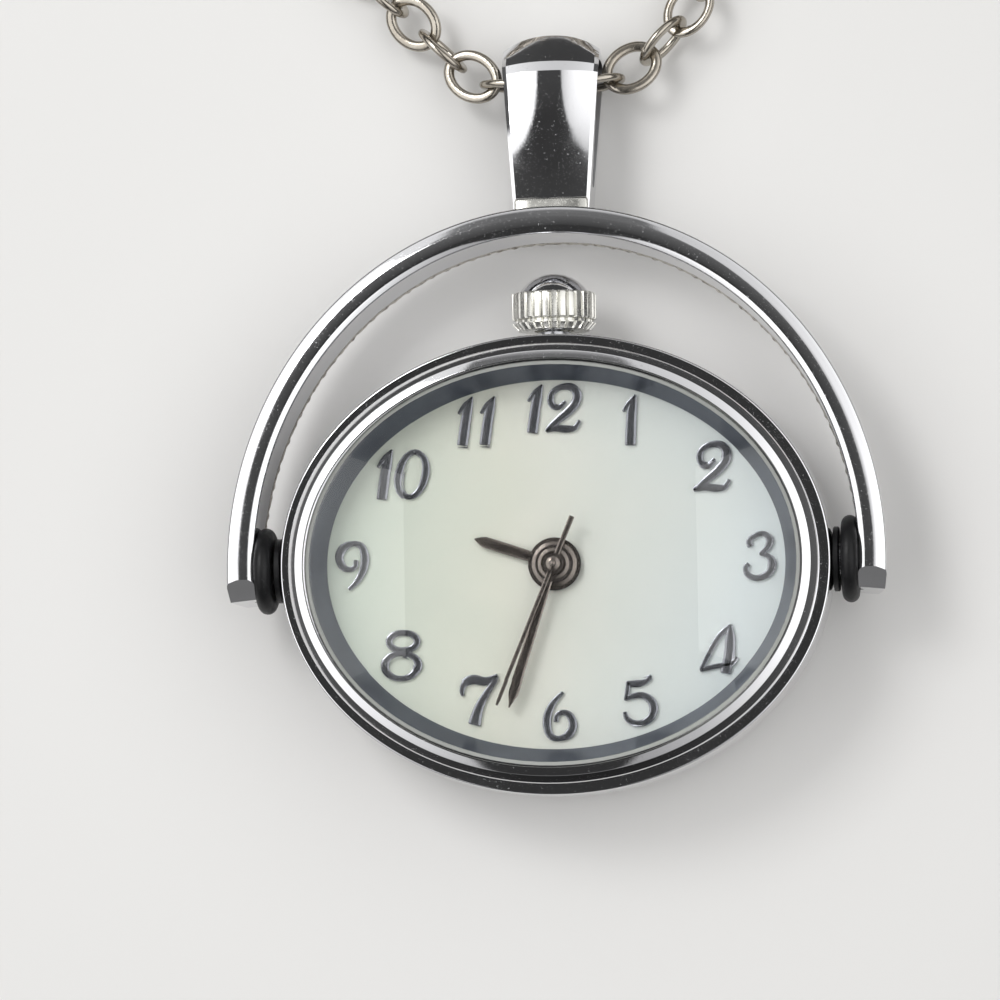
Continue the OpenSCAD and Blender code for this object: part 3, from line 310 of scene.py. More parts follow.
# Glass epoxy board under green lacquer: a smooth glossy skin over a faint mottle.
board_epoxy = moulded("glass_epoxy_green_lacquer", "#1f6b3a", "#174f2d", 0.3, 0.42, 0.5,
                      IOR=1.55, Coat_Weight=0.3)

NODE_FINISH = {
    polished_plate: ("pivot_pin_left", "pivot_pin_right"),
    chain_nickel: ("end_rings", "clasp_body", "clasp_lever"),
    black_nitrile: ("o_ring_left", "o_ring_right", "friction_washer_left",
                    "friction_washer_right", "case_back_gasket", "crown_gasket"),
    satin_steel: ("clasp_pin", "pivot_tubes", "crown_tube", "stem", "bridge_screws",
                  "battery_clip", "setting_lever", "sliding_pinion", "quartz_can", "coil_core",
                  "stator", "rotor"),
    brushed_back: ("case_back",),
    cell_steel: ("battery_cell",),
    crystal_glass: ("crystal",),
    gasket_nylon: ("crystal_gasket",),
    pearl: ("dial",),
    holder_acetal: ("movement_holder",),
    train_brass: ("main_plate", "train_bridge", "hour_wheel", "cannon_pinion", "minute_wheel",
                  "fourth_wheel", "third_wheel", "fifth_wheel", "centre_wheel"),
    board_epoxy: ("circuit_board",),
    wound_coil: ("coil",),
}
for material, names in NODE_FINISH.items():
    for name in names:
        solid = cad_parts[name]
        if not solid.material_slots:
            solid.data.materials.append(None)
        for place in solid.material_slots:
            place.material = material


# Shared dimensions of the watch in millimetres: the case as the solids have it, and the yoke
# with a slightly heavier bar

CASE_A, CASE_B = 13.4, 11.2  # half width and half length of the case
CAVITY_A = 11.9  # half width of the space inside it
BEZEL_A, BEZEL_B, BEZEL_W = 12.75, 10.55, 0.85
LIP_Z, WIDEST_Z, CASE_H = 0.3, 3.0, 5.3  # the case side's foot, widest line and top
DIAL_TOP, CRYSTAL_Z = 4.35, 5.95  # the crystal's underside
PIVOT_Z, CROWN_Z = 3.7, 3.05
ARCH_A, ARCH_B, BAR_T, BAR_D = 15.95, 17.4, 1.36, 3.2  # half width, top, bar's width and depth
YOKE_LEAN = math.radians(4.43789)


# Mesh helpers

def piece(name, parts, body, replaced=(), sharp=35):
    """Makes one piece from (points, faces, material) parts, smooth up to the sharp angle."""
    points, faces, used, which = [], [], [], []
    for part_points, part_faces, material in parts:
        start = len(points)
        points.extend(part_points)
        faces.extend([i + start for i in f] for f in part_faces)
        if material not in used:
            used.append(material)
        which.extend([used.index(material)] * len(part_faces))
    mesh = mesh_of(name, points, faces, used)
    mesh.polygons.foreach_set("material_index", which)
    work = bmesh.new()
    work.from_mesh(mesh)
    bmesh.ops.recalc_face_normals(work, faces=work.faces)
    limit = math.radians(sharp)
    for edge in work.edges:
        edge.smooth = len(edge.link_faces) == 2 and edge.calc_face_angle(0) < limit
    for face in work.faces:
        face.smooth = True
    work.to_mesh(mesh)
    work.free()
    made = in_scene(name, mesh)
    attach(made, body)
    if replaced:
        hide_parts(*replaced)
    return made


def skin(rows, round_rows=False, closed=True):
    """Faces over a grid of points: each row is one section, and each section may be a loop."""
    rows = [list(map(tuple, r)) for r in rows]
    count, width = len(rows), len(rows[0])
    points = [p for r in rows for p in r]
    faces = []
    for i in range(count if round_rows else count - 1):
        for j in range(width if closed else width - 1):
            a, b = i * width, (i + 1) % count * width
            k = (j + 1) % width
            faces.append((a + j, a + k, b + k, b + j))
    if not round_rows and closed:
        faces.append(tuple(range(width))[::-1])
        faces.append(tuple(range((count - 1) * width, count * width)))
    return points, faces


def turn_of(steps):
    """Angles of one whole turn in equal steps."""
    return [2 * math.pi * k / steps for k in range(steps)]


def oval_lathe(profile, a, b, steps=288):
    """Ring whose section is drawn in from an oval: profile is a loop of (drawn in, height)."""
    return skin([[((a - d) * math.cos(t), (b - d) * math.sin(t), z) for d, z in profile]
                 for t in turn_of(steps)], round_rows=True)


def lathe(profile, steps=96, cut=None):
    """Solid of revolution about Z from (radius, height) points; cut may change the radius."""
    rows = []
    for t in turn_of(steps):
        drawn = [(cut(r, t) if cut else r, z) for r, z in profile]
        rows.append([(r * math.cos(t), r * math.sin(t), z) for r, z in drawn])
    return skin(rows, round_rows=True, closed=False)


def arc(cx, cy, r, start, end, steps):
    """Points on an arc, with its angles in degrees."""
    return [(cx + r * math.cos(math.radians(start + (end - start) * k / steps)),
             cy + r * math.sin(math.radians(start + (end - start) * k / steps)))
            for k in range(steps + 1)]


def moved(part, turn, shift=(0, 0, 0)):
    """A part's points turned by a matrix and shifted."""
    points, faces = part
    return [tuple(turn @ Vector(p) + Vector(shift)) for p in points], faces


def leaned(part):
    """From the yoke's own frame to the watch's: the yoke leans back about the pivot axis."""
    return moved(part, Matrix.Rotation(-YOKE_LEAN, 3, "X"), (0, 0, PIVOT_Z))


def leaned_parts(work, plates):
    """Parts of a piece from a bmesh in the yoke's frame, with a material for each face index."""
    work.verts.index_update()
    points = leaned(([tuple(v.co) for v in work.verts], []))[0]
    faces = [[[v.index for v in f.verts] for f in work.faces if f.material_index == index]
             for index in range(len(plates))]
    work.free()
    # the parts after the first have no points of their own, and count back to the first one's
    return [(points, faces[0], plates[0])] + [
        ([], [[i - len(points) for i in f] for f in more], plate)
        for more, plate in zip(faces[1:], plates[1:])]


# Chain: the same routes and links as the solids, with wire that rollers have flattened

LINK_L, LINK_W, WIRE, THIN, PLAY = 3.15, 2.4, 0.42, 0.85, 0.168
LINK_PITCH = LINK_L - 2 * WIRE * THIN * LINK_L / LINK_W - PLAY
SQUARENESS, ROLLED, LEVEL = 2.5, 0.95, 0.91  # of the wire's section, its width and its height
# the first links are rolled broader, a few more are finer in mesh, and all near the bail roll over
BROAD_LINKS, BROADEST, FINE_LINKS, ROLL_OVER = 6, 4, 8, 10
CHAIN_Z = 1.02
COIL_Y, COIL_IN, TURN_GAP, COIL_TURNS, COIL_STEPS = 54.5, 12.0, 2.7, 2, 24
LEFT_FROM, RIGHT_FROM = 205, 260  # degrees at which the strands join the coil
RIGHT_TURNED = 360 * (COIL_TURNS - 1) + RIGHT_FROM - LEFT_FROM + 180
INNER_BEND = 4.1
LEFT_ROUTE = [(0, 23.6, 1.87), (-2.1, 23.6, 1.9), (-3.7, 24, 1.7), (-5.2, 25.3, 1.4),
              (-7, 27.1, 1.2), (-9.8, 30, 1.05), (-13.5, 34.5, 1.02), (-17.2, 39.2, 1.02)]
RIGHT_ROUTE = [(0, 23.5, 1.87), (1.7, 23.5, 1.87), (3.3, 24, 1.75), (4.7, 25, 1.55),
               (6, 26.3, 1.35), (7, 27.8, 1.2), (7.5, 29.5, 1.08), (7.2, 31.3, 1.02),
               (6.1, 32.8, 1.02), (4.5, 33.8, 1.02), (2.6, 34.1, 1.02), (0.2, 34, 1.02)]


def coil_point(r, angle):
    """A point at a radius of the coil and an angle in degrees."""
    return (r * math.cos(math.radians(angle)), COIL_Y + r * math.sin(math.radians(angle)),
            CHAIN_Z)


def coil_run(start, turned):
    """The coil winds in clockwise by a set distance each turn."""
    count = int(turned * COIL_STEPS / 360 + 1e-6)
    return [coil_point(COIL_IN + 2 * TURN_GAP * (turned - a) / 360, start - a)
            for a in (360 / COIL_STEPS * k for k in range(count + 1))]


def last_bend(start):
    """Each strand ends in a tighter bend towards the clasp."""
    middle = Vector(coil_point(COIL_IN - INNER_BEND, start))
    return [tuple(middle + INNER_BEND * Vector((math.cos(math.radians(start - a)),
                                               math.sin(math.radians(start - a)), 0)))
            for a in (30, 60, 90, 120)]


def smooth(points, steps):
    """A smooth curve through a list of points, with a few steps to each stretch."""
    p = [np.array(q, float) for q in points]
    out = []
    for i in range(len(p) - 1):
        a, b, c, d = p[max(i - 1, 0)], p[i], p[i + 1], p[min(i + 2, len(p) - 1)]
        for k in range(steps):
            t = k / steps
            out.append(b + t * (c - a) / 2 + t * t * (2 * a - 5 * b + 4 * c - d) / 2
                       + t ** 3 * (3 * b - a - 3 * c + d) / 2)
    return np.array(out + [p[-1]])


def link(along, around, broad=ROLLED, sides=0):
    """One oval link of wire: broad widens it, and sides widens it more along its two sides."""
    rows = []
    for t in turn_of(along):
        row = []
        for u in turn_of(around):
            c, s = math.cos(u), math.sin(u)
            flat = (abs(c) ** SQUARENESS + abs(s) ** SQUARENESS) ** (-1 / SQUARENESS)
            wide = THIN * broad * (1 + sides * math.sin(t) ** 2)
            r = (LINK_W - WIRE) / 2 + WIRE / 2 * wide * flat * c
            row.append((r * math.cos(t) * LINK_L / LINK_W, r * math.sin(t),
                        WIRE / 2 * LEVEL * flat * s))
        rows.append(row)
    return skin(rows, round_rows=True)


def shape_of(i):
    """The link at a place along its strand, counted from the bail."""
    if i < BROAD_LINKS:
        return link(64, 20, 1.14, 0.25 if i < BROADEST else 0)
    return link(64, 20) if i < FINE_LINKS else link(28, 10)


def strand(name, path, first, turned_by, node):
    """A strand of closed links along a path."""
    run = np.concatenate([[0], np.cumsum(np.linalg.norm(np.diff(path, axis=0), axis=1))])
    count = round((run[-1] - first) / LINK_PITCH)
    pitch = (run[-1] - first) / count

    def at(s):
        """The point of the path that lies a length along it."""
        return Vector([np.interp(s, run, path[:, k]) for k in range(3)])
    points, faces = [], []
    for i in range(count + 1):
        middle = first + i * pitch
        ahead = at(middle + pitch / 2) - at(middle - pitch / 2)
        roll = (45 if (i + turned_by) % 2 == 0 else -45) + 45 * max(0, 1 - i / ROLL_OVER)
        turn = (Matrix.Rotation(math.atan2(ahead.y, ahead.x), 3, "Z")
                @ Matrix.Rotation(-math.atan2(ahead.z, ahead.xy.length), 3, "Y")
                @ Matrix.Rotation(math.radians(roll), 3, "X"))
        new_points, new_faces = moved(shape_of(i), turn, at(middle))
        faces.extend([k + len(points) for k in f] for f in new_faces)
        points.extend(new_points)
    made = piece(name, [(points, faces, chain_nickel)], "yoke", (node,), 60)


left_path = smooth(LEFT_ROUTE + coil_run(LEFT_FROM, 360 * COIL_TURNS) + last_bend(LEFT_FROM), 3)
right_path = smooth(RIGHT_ROUTE + coil_run(RIGHT_FROM, RIGHT_TURNED)
                    + last_bend(LEFT_FROM - 180), 3)
strand("chain_strand_left", left_path, LINK_PITCH, 0, "chain_left")
strand("chain_strand_right", right_path, 0, 1, "chain_right")


# Yoke arch: an oval bar with a rounded front, a slanting outer wall and a cast seam inside

LEG_PAST = 1.6  # how far the legs reach past the pivot
BAR_FRONT = BAR_D / 2 - 0.24
ARCH_STEPS, SEAM_FACES = 720, range(20, 24)
CUT_SLOPE, CUT_REACH, CUT_DOWN = math.radians(35), 0.35, 0.75  # the bevel at each leg's end
end_angle = math.asin(LEG_PAST / ARCH_B)
bar_in = ARCH_B - BAR_T

# the bar's front, from its outer edge inwards: share of the bar's width, and height
FRONT_FACE = [(0.004, 0), (0.02, 0.045), (0.05, 0.08), (0.09, 0.105), (0.18, 0.136), (0.27, 0.166),
              (0.33, 0.186), (0.36, 0.194), (0.41, 0.2), (0.5, 0.207), (0.6, 0.209),
              (0.7, 0.206), (0.78, 0.199), (0.815, 0.19), (0.87, 0.165), (0.93, 0.134),
              (0.96, 0.11), (0.985, 0.055), (0.996, 0)]


def bar_section(angle):
    """Loop of (radius, height) of the bar's section; the seam wanders a little along the bar."""
    front = [(ARCH_B - BAR_T * share, BAR_FRONT + rise) for share, rise in FRONT_FACE]
    wander = 0.025 * math.sin(angle * 23) + 0.02 * math.sin(angle * 57 + 1)
    seam = -BAR_D / 2 + 0.42 + wander
    rough = 0.02 * math.sin(angle * 131) + 0.015 * math.sin(angle * 211 + 2)
    inner = [(bar_in, BAR_FRONT - 0.12), (bar_in, seam + 0.16), (bar_in - 0.03, seam + 0.1),
             (bar_in - 0.07 + rough, seam), (bar_in - 0.03, seam - 0.1),
             (bar_in + 0.01, seam - 0.14), (bar_in + 0.02, -BAR_D / 2 + 0.1)]
    back = arc(bar_in + 0.13, -BAR_D / 2 + 0.1, 0.1, 180, 270, 4)[1:]
    outer = arc(ARCH_B - 0.45 - 0.12, -BAR_D / 2 + 0.12, 0.12, 270, 352, 4)
    rise = [(ARCH_B - 0.2, -0.1), (ARCH_B - 0.02, BAR_FRONT - 0.2), (ARCH_B, BAR_FRONT - 0.05)]
    return front + inner + back + outer + rise


arch_rows = []
for k in range(ARCH_STEPS + 1):
    t = -end_angle + (math.pi + 2 * end_angle) * k / ARCH_STEPS
    arch_rows.append([((r - ARCH_B + ARCH_A) * math.cos(t), r * math.sin(t), z)
                      for r, z in bar_section(t)])
arch_points, arch_faces = skin(arch_rows)
work = bmesh.new()
corners = [work.verts.new(p) for p in arch_points]
width = len(arch_rows[0])
for i, f in enumerate(arch_faces):
    made = work.faces.new([corners[j] for j in f])
    made.material_index = int(i < ARCH_STEPS * width and i % width in SEAM_FACES)
for side in (1, -1):
    # the front corner of each leg's end is cut to a slope
    slope = Vector((0, -math.sin(CUT_SLOPE), math.cos(CUT_SLOPE)))
    edge = Vector((side * (ARCH_A - BAR_T / 2), -LEG_PAST + CUT_REACH * slope.z,
                   BAR_D / 2 - CUT_DOWN - CUT_REACH * slope.y))
    near = [f for f in work.faces if f.calc_center_median().x * side > 0
            and f.calc_center_median().y < 1.5]
    geometry = set(near)
    for f in near:
        geometry.update(f.edges)
        geometry.update(f.verts)
    cut = bmesh.ops.bisect_plane(work, geom=list(geometry), plane_co=edge, plane_no=slope,
                                 clear_outer=True)
    bmesh.ops.holes_fill(work, edges=[g for g in cut["geom_cut"] if isinstance(
        g, bmesh.types.BMEdge) and g.is_boundary])
bmesh.ops.triangulate(work, faces=[f for f in work.faces if len(f.verts) > 4])
piece("yoke_arch_bar", leaned_parts(work, (polished_plate, seam_plate)), "yoke",
      ("yoke_arch",), 32)


# Bail: a loop of plate, wider and domed at the top, its faces crowned and its edges eased

BAIL_TOP, BAIL_W, BAIL_FOOT_W, BAIL_D, BAIL_WALL = 26.1, 4.8, 3.7, 3.5, 0.45
EYE_Y = 24.05  # middle of the round that the chain runs through
FRONT_TOP = 24.55  # where the front bends back to the light band, and the dome above it
DOME_FROM, DOME_DROP, DOME_POWER = 23.2, 0.75, 2.3
TAPER_L = 7.6  # the height over which the bail widens
# how far the faces bulge between their edges, and how far the eye's top rises there
FRONT_BULGE, BACK_BULGE, EYE_BULGE, EYE_RISE = 0.5, 0.16, 0.16, 0.55
EASE_FROM, EASED = 0.92, 0.07  # the edges are eased from this share of the half width on
ACROSS = 24


def bail_half(y):
    """Half width of the bail at a height, wider towards its top."""
    return (BAIL_FOOT_W + (y - ARCH_B) * (BAIL_W - BAIL_FOOT_W) / TAPER_L) / 2


# both walls of the loop as (y, z) from the foot up the front, over the top and down the back,
# with as many points each
FOOT_Y, SLOT_Y = ARCH_B - 0.75, 18.55
outer_loop = [(FOOT_Y, 1.2), (ARCH_B + 1, 1.27), (20, 1.4), (21.2, 1.5), (22.2, 1.59),
              (23.2, 1.66), (FRONT_TOP - 0.5, 1.7), (FRONT_TOP, 1.52)]
outer_loop += [(FRONT_TOP + up, z) for up, z in ((0.25, 1.36), (0.5, 1.2), (0.75, 1.04), (1, 0.87),
                                                 (1.25, 0.7))]
outer_loop += [(BAIL_TOP - 0.06, 0.52), (BAIL_TOP - 0.02, 0.38), (BAIL_TOP, 0.15)]
outer_loop += arc(EYE_Y, 0, BAIL_D / 2, -10, -90, 15)
outer_loop += [(22, -1.6), (20, -1.43), (ARCH_B + 1, -1.3), (FOOT_Y, -1.2)]
inner_loop = [(SLOT_Y, 0.25), (18.7, 0.5), (20, 0.72), (21.2, 0.9), (22.2, 1.06), (22.9, 1.17),
              (23.6, 1.26), (24.0, 1.295)]
inner_loop += arc(EYE_Y, 0, BAIL_D / 2 - BAIL_WALL, 85, -98, 23)
inner_loop += [(22, -1.03), (20, -0.72), (18.7, -0.5), (SLOT_Y, -0.25)]


def bail_point(y, z, s, crowned):
    """A point of the loop's wall: s runs from -1 to 1 across it."""
    x = s * bail_half(min(y, FRONT_TOP))
    if crowned:
        top = max(0, (y - DOME_FROM) / (BAIL_TOP - DOME_FROM))
        y -= top * top * DOME_DROP * abs(s) ** DOME_POWER
        upright = min(1, abs(z) / (BAIL_D / 2) * 1.2)
        bulge = FRONT_BULGE if z > 0 else BACK_BULGE
        bulge *= min(1, max(0.1, (y - ARCH_B) / (FRONT_TOP - 0.5 - ARCH_B)) ** 1.7)
        edge = EASED * max(0, (abs(s) - EASE_FROM) / (1 - EASE_FROM)) ** 2
        z -= math.copysign(bulge * s * s * (1 - 0.7 * top) + edge, z) * upright
    else:
        z -= max(0, z) * EYE_BULGE * s * s
        if y > EYE_Y:
            y -= EYE_RISE * ((y - EYE_Y) / (BAIL_D / 2 - BAIL_WALL)) ** 2 * s * s
    return (x, y, z)


bail_parts = []
for loop, crowned, plate in ((outer_loop, True, 0), (inner_loop, False, 1)):
    rows = [[bail_point(y, z, -1 + 2 * j / ACROSS, crowned) for j in range(ACROSS + 1)]
            for y, z in loop]
    bail_parts.append((*skin(rows, round_rows=True, closed=False), plate))
for side in (1, -1):
    # the flat side between the outer and the inner wall
    walls = [[bail_point(y, z, side, crowned) for y, z in loop]
             for loop, crowned in ((outer_loop, True), (inner_loop, False))]
    count = len(outer_loop)
    faces = [(i, (i + 1) % count, count + (i + 1) % count, count + i) for i in range(count)]
    bail_parts.append((walls[0] + walls[1], faces, 0))
weld = bmesh.new()
for points, faces, plate in bail_parts:
    corners = [weld.verts.new(p) for p in points]
    for f in faces:
        weld.faces.new([corners[i] for i in f]).material_index = plate
bmesh.ops.remove_doubles(weld, verts=weld.verts[:], dist=0.002)
piece("bail_loop", leaned_parts(weld, (polished_plate, eye_plate)), "yoke",
      ("bail",), 11)


# Foot of the bail: a low block where it is soldered on to the arch

foot_rows = []
FOOT_W, FOOT_TOP, FOOT_FRONT = 1.8, ARCH_B + 0.47, 1.34
for x, drawn in ((-FOOT_W, 0.1), (-FOOT_W + 0.04, 0.03), (-FOOT_W + 0.12, 0), (-1.0, -0.01),
                 (-0.3, 0.012), (0.4, -0.008), (1.1, 0.006), (FOOT_W - 0.12, 0),
                 (FOOT_W - 0.04, 0.03), (FOOT_W, 0.1)):
    top, front = FOOT_TOP - drawn, FOOT_FRONT - drawn
    foot_rows.append([(x, ARCH_B - 0.5, front), (x, top - 0.2, front),
                      (x, top - 0.09, front - 0.03), (x, top - 0.02, front - 0.11),
                      (x, top, front - 0.25), (x, top, 0.3 - front),
                      (x, top - 0.1, 0.1 - front), (x, ARCH_B - 0.5, 0.1 - front)])
piece("bail_foot", [(*leaned(skin(foot_rows)), satin_plate)], "yoke", (), 50)


# Case middle: the side bulges to its widest line and is drawn in below and above it

UNDERCUT, DRAWN_IN = 0.8, 0.1  # how far the side is drawn in at its foot and at its top
NOTCH_HALF, NOTCH_H, NOTCH_END = 1.3, 0.16, 0.2
BORE_R = 0.805


def case_side_in(z):
    """How far the case's side is drawn in at a height."""
    if z < WIDEST_Z:
        return UNDERCUT * ((WIDEST_Z - z) / (WIDEST_Z - LIP_Z)) ** 2
    return DRAWN_IN * ((z - WIDEST_Z) / (CASE_H - WIDEST_Z)) ** 2


side_profile = [(CASE_A - CAVITY_A, LIP_Z + 0.05), (0.95, LIP_Z)]
side_profile += [(case_side_in(z) + e, z) for z, e in
                 [(LIP_Z + 0.02, 0.07), (LIP_Z + 0.08, 0.01)]
                 + [(LIP_Z + 0.2 + 0.3 * k, 0) for k in range(16)]
                 + [(CASE_H - 0.1, 0), (CASE_H - 0.08, 0.002), (CASE_H - 0.02, 0.03),
                    (CASE_H, 0.08), (CASE_H, 0.1)]]
side_profile += [(0.72, CASE_H), (CASE_A - CAVITY_A, CASE_H)]
points, faces = oval_lathe(side_profile, CASE_A - 0.01, CASE_B - 0.025)
notched = []
for x, y, z in points:
    # a shallow notch at 9 o'clock to prise the back off
    if x < 0 and abs(y) < NOTCH_HALF and z < LIP_Z + NOTCH_H:
        z = LIP_Z + NOTCH_H * min(1, (NOTCH_HALF - abs(y)) / NOTCH_END)
    notched.append((x, y, z))
band = piece("case_side_band", [(notched, faces, polished_plate)], "case",
             ("case_middle",), 40)
# the crown's tube goes through a bore at 12 o'clock
drill_points, drill_faces = skin([[(BORE_R * math.cos(t), y, CROWN_Z - BORE_R * math.sin(t))
                                   for t in turn_of(64)]
                                  for y in (CASE_B - 2, CASE_B + 1)])
drill = in_scene("drill", mesh_of("drill", drill_points, drill_faces))
bore = band.modifiers.new("bore", "BOOLEAN")
bore.operation, bore.solver, bore.object = "DIFFERENCE", "EXACT", drill
bored = bpy.data.meshes.new_from_object(band.evaluated_get(
    bpy.context.evaluated_depsgraph_get()))
band.modifiers.clear()
band.data = bored
bpy.data.objects.remove(drill)


# Pivot pins: turned pins pressed into the legs, with an eased end that stays below the plate

PIN_R = 0.61
pin_profile = [(0, 12.3), (0.5, 12.3), (0.6, 12.4), (PIN_R, 13.6), (PIN_R, 15.3), (0.56, 15.38),
               (0, 15.4)]
for side, node in ((1, "pivot_pin_right"), (-1, "pivot_pin_left")):
    turn = Matrix.Rotation(side * math.pi / 2, 3, "Y")
    pin = moved(lathe(pin_profile, 48), turn, (0, 0, PIVOT_Z))
    piece(node.replace("pivot", "turned"), [(*pin, polished_plate)], "yoke",
          (node,))


# Dark washers round the pivot tubes, against the case

WASHER_R, WASHER_T, WASHER_AT, TUBE_R = 1.56, 0.29, 13.36, 0.79
washer_profile = [(TUBE_R, 0), (TUBE_R, WASHER_T), (WASHER_R - 0.06, WASHER_T),
                  (WASHER_R, WASHER_T - 0.05), (WASHER_R, 0.05), (WASHER_R - 0.05, 0)]
washer = skin([[(z, r * math.cos(t), r * math.sin(t)) for r, z in washer_profile]
               for t in turn_of(96)], round_rows=True)
for side, name in ((1, "thrust_washer_right"), (-1, "thrust_washer_left")):
    turned = moved(washer, Matrix.Diagonal((side, 1, 1)), (side * WASHER_AT, 0, PIVOT_Z))
    piece(name, [(*turned, black_nitrile)], "case")


# Bezel: a ring with an upright foot, a steep shoulder, a wide flat slope and a step to the crystal

bezel_profile = [(0, CASE_H), (0, 6.27), (0.012, 6.31), (0.045, 6.345), (0.2, 6.475),
                 (0.345, 6.597), (0.375, 6.617), (0.41, 6.632), (0.55, 6.682), (0.7, 6.734),
                 (0.735, 6.744), (0.76, 6.742), (0.775, 6.71), (0.782, 6.62), (0.81, 6.6),
                 (BEZEL_W, 6.57), (BEZEL_W, CASE_H)]
piece("bezel_ring", [(*oval_lathe(bezel_profile, BEZEL_A, BEZEL_B), polished_plate)], "case",
      ("bezel",), 30)


# Flange: a sloping ring between the crystal and the dial, with an eased inner edge

FLANGE_W, OPEN_A, OPEN_B = 0.9, BEZEL_A - BEZEL_W, BEZEL_B - BEZEL_W
FLANGE_DROP = 1.38
flange_profile = [(0, DIAL_TOP), (0, CRYSTAL_Z - 0.01), (0.13, CRYSTAL_Z - 0.01),
                  (0.17, CRYSTAL_Z - 0.05)]
flange_profile += [(0.17 + (FLANGE_W - 0.2) * k / 10, CRYSTAL_Z - 0.05 - FLANGE_DROP * (k / 10))
                   for k in range(1, 10)]
flange_profile += [(FLANGE_W - 0.03, DIAL_TOP + 0.16), (FLANGE_W, DIAL_TOP + 0.1),
                   (FLANGE_W, DIAL_TOP)]
piece("flange_slope", [(*oval_lathe(flange_profile, OPEN_A, OPEN_B), flange_anodised)], "case",
      ("flange_ring",), 40)


# Numerals: brush strokes in a cell one unit high, each point with its half width

ONE = [[(0.32, 0.99, 0.02), (0.235, 0.75, 0.085), (0.19, 0.55, 0.095), (0.15, 0.3, 0.1),
        (0.11, 0.03, 0.1)],
       [(0.32, 0.98, 0.02), (0.17, 0.82, 0.05), (0.04, 0.66, 0.025)]]
TWO = [[(0.42, 0.64, 0.03), (0.3, 0.53, 0.05), (0.17, 0.55, 0.06), (0.12, 0.68, 0.06),
        (0.17, 0.83, 0.055), (0.34, 0.93, 0.055), (0.55, 0.92, 0.075), (0.66, 0.78, 0.085),
        (0.62, 0.6, 0.085), (0.46, 0.42, 0.08), (0.26, 0.26, 0.07), (0.1, 0.12, 0.055),
        (0.03, 0.04, 0.03)],
       [(0.03, 0.05, 0.035), (0.2, 0.1, 0.06), (0.42, 0.08, 0.07), (0.6, 0.1, 0.05),
        (0.7, 0.24, 0.035)]]
THREE = [[(0.18, 0.7, 0.06), (0.16, 0.81, 0.05), (0.3, 0.92, 0.045), (0.46, 0.94, 0.05),
          (0.57, 0.83, 0.07), (0.52, 0.67, 0.06), (0.37, 0.54, 0.03)],
         [(0.37, 0.545, 0.03), (0.54, 0.49, 0.05), (0.61, 0.35, 0.08), (0.54, 0.16, 0.07),
          (0.31, 0.06, 0.055), (0.12, 0.13, 0.055), (0.08, 0.27, 0.05), (0.14, 0.34, 0.045)]]
FOUR = [[(0.64, 0.95, 0.03), (0.44, 0.76, 0.05), (0.25, 0.46, 0.05), (0.07, 0.12, 0.04)],
        [(0.05, 0.1, 0.035), (0.37, 0.17, 0.045), (0.62, 0.2, 0.04), (0.72, 0.24, 0.04),
         (0.77, 0.32, 0.035)],
        [(0.66, 0.97, 0.03), (0.65, 0.7, 0.09), (0.62, 0.35, 0.1), (0.55, 0.04, 0.095)]]
FIVE = [[(0.12, 0.85, 0.05), (0.32, 0.845, 0.065), (0.47, 0.88, 0.05), (0.6, 0.96, 0.03)],
        [(0.14, 0.88, 0.04), (0.12, 0.7, 0.045), (0.08, 0.52, 0.035)],
        [(0.09, 0.55, 0.035), (0.24, 0.6, 0.05), (0.42, 0.61, 0.06), (0.58, 0.51, 0.08),
         (0.64, 0.35, 0.08), (0.58, 0.17, 0.07), (0.42, 0.06, 0.06), (0.24, 0.06, 0.055),
         (0.1, 0.15, 0.05), (0.06, 0.28, 0.035)]]
SIX = [[(0.43, 0.97, 0.03), (0.25, 0.79, 0.055), (0.13, 0.57, 0.075), (0.095, 0.33, 0.08),
        (0.16, 0.11, 0.065), (0.34, 0.05, 0.05), (0.53, 0.13, 0.08), (0.62, 0.31, 0.08),
        (0.56, 0.5, 0.07), (0.42, 0.57, 0.05), (0.3, 0.51, 0.045), (0.28, 0.39, 0.045)]]
SEVEN = [[(0.08, 0.62, 0.03), (0.06, 0.72, 0.045), (0.12, 0.86, 0.06), (0.3, 0.92, 0.07),
          (0.54, 0.88, 0.06), (0.78, 0.97, 0.035)],
         [(0.77, 0.95, 0.04), (0.63, 0.77, 0.055), (0.47, 0.52, 0.075), (0.37, 0.3, 0.095),
          (0.3, 0.05, 0.12)]]
ZERO_LEAN, LONE_ONE_LEAN = 0.16, -0.1  # the 1 of 1 o'clock stands more upright
FIGURE_WIDTHS = [0.69, 0.38, 0.76, 0.7, 0.82, 0.73, 0.71, 0.82, 0.82, 0.71]
DIGIT_PITCH, ONES_PITCH = 0.37, 0.45  # between the two figures of 10 and 12, and of 11
NUMERAL_AT = [(3.83, 6.81), (7.62, 4.49), (9.74, 0.18), (7.71, -4.21), (3.98, -6.56), (0.1, -7.21),
              (-3.76, -6.43), (-7.47, -4.22), (-9.73, 0.15), (-7.25, 4.48), (-3.65, 6.9),
              (0.1, 7.42)]
NUMERAL_H, NUMERAL_T = 2.4, 0.16
# across the stroke, and how far below the flat top as a share of the bevel
BEVEL = [(1, 1.6), (0.97, 1), (0.6, 0.03), (0.5, 0), (-0.5, 0), (-0.6, 0.03), (-0.97, 1),
         (-1, 1.6)]
BEVEL_SLOPE = 0.16  # depth of the bevel as a share of the stroke's half width
STROKE_GAIN = 1.09  # all strokes drawn a little bolder


def ring_stroke(x, y, rx, ry, thick, thin, lean=0):
    """A closed figure such as 0, as a stroke whose width swells at its sides."""
    out = []
    for t in turn_of(32):
        half = (thick * math.cos(t) ** 2 + thin * math.sin(t) ** 2) / 2
        out.append((x + (rx - half) * math.cos(t) + lean * ry * math.sin(t),
                    y + (ry - half) * math.sin(t), half))
    return out


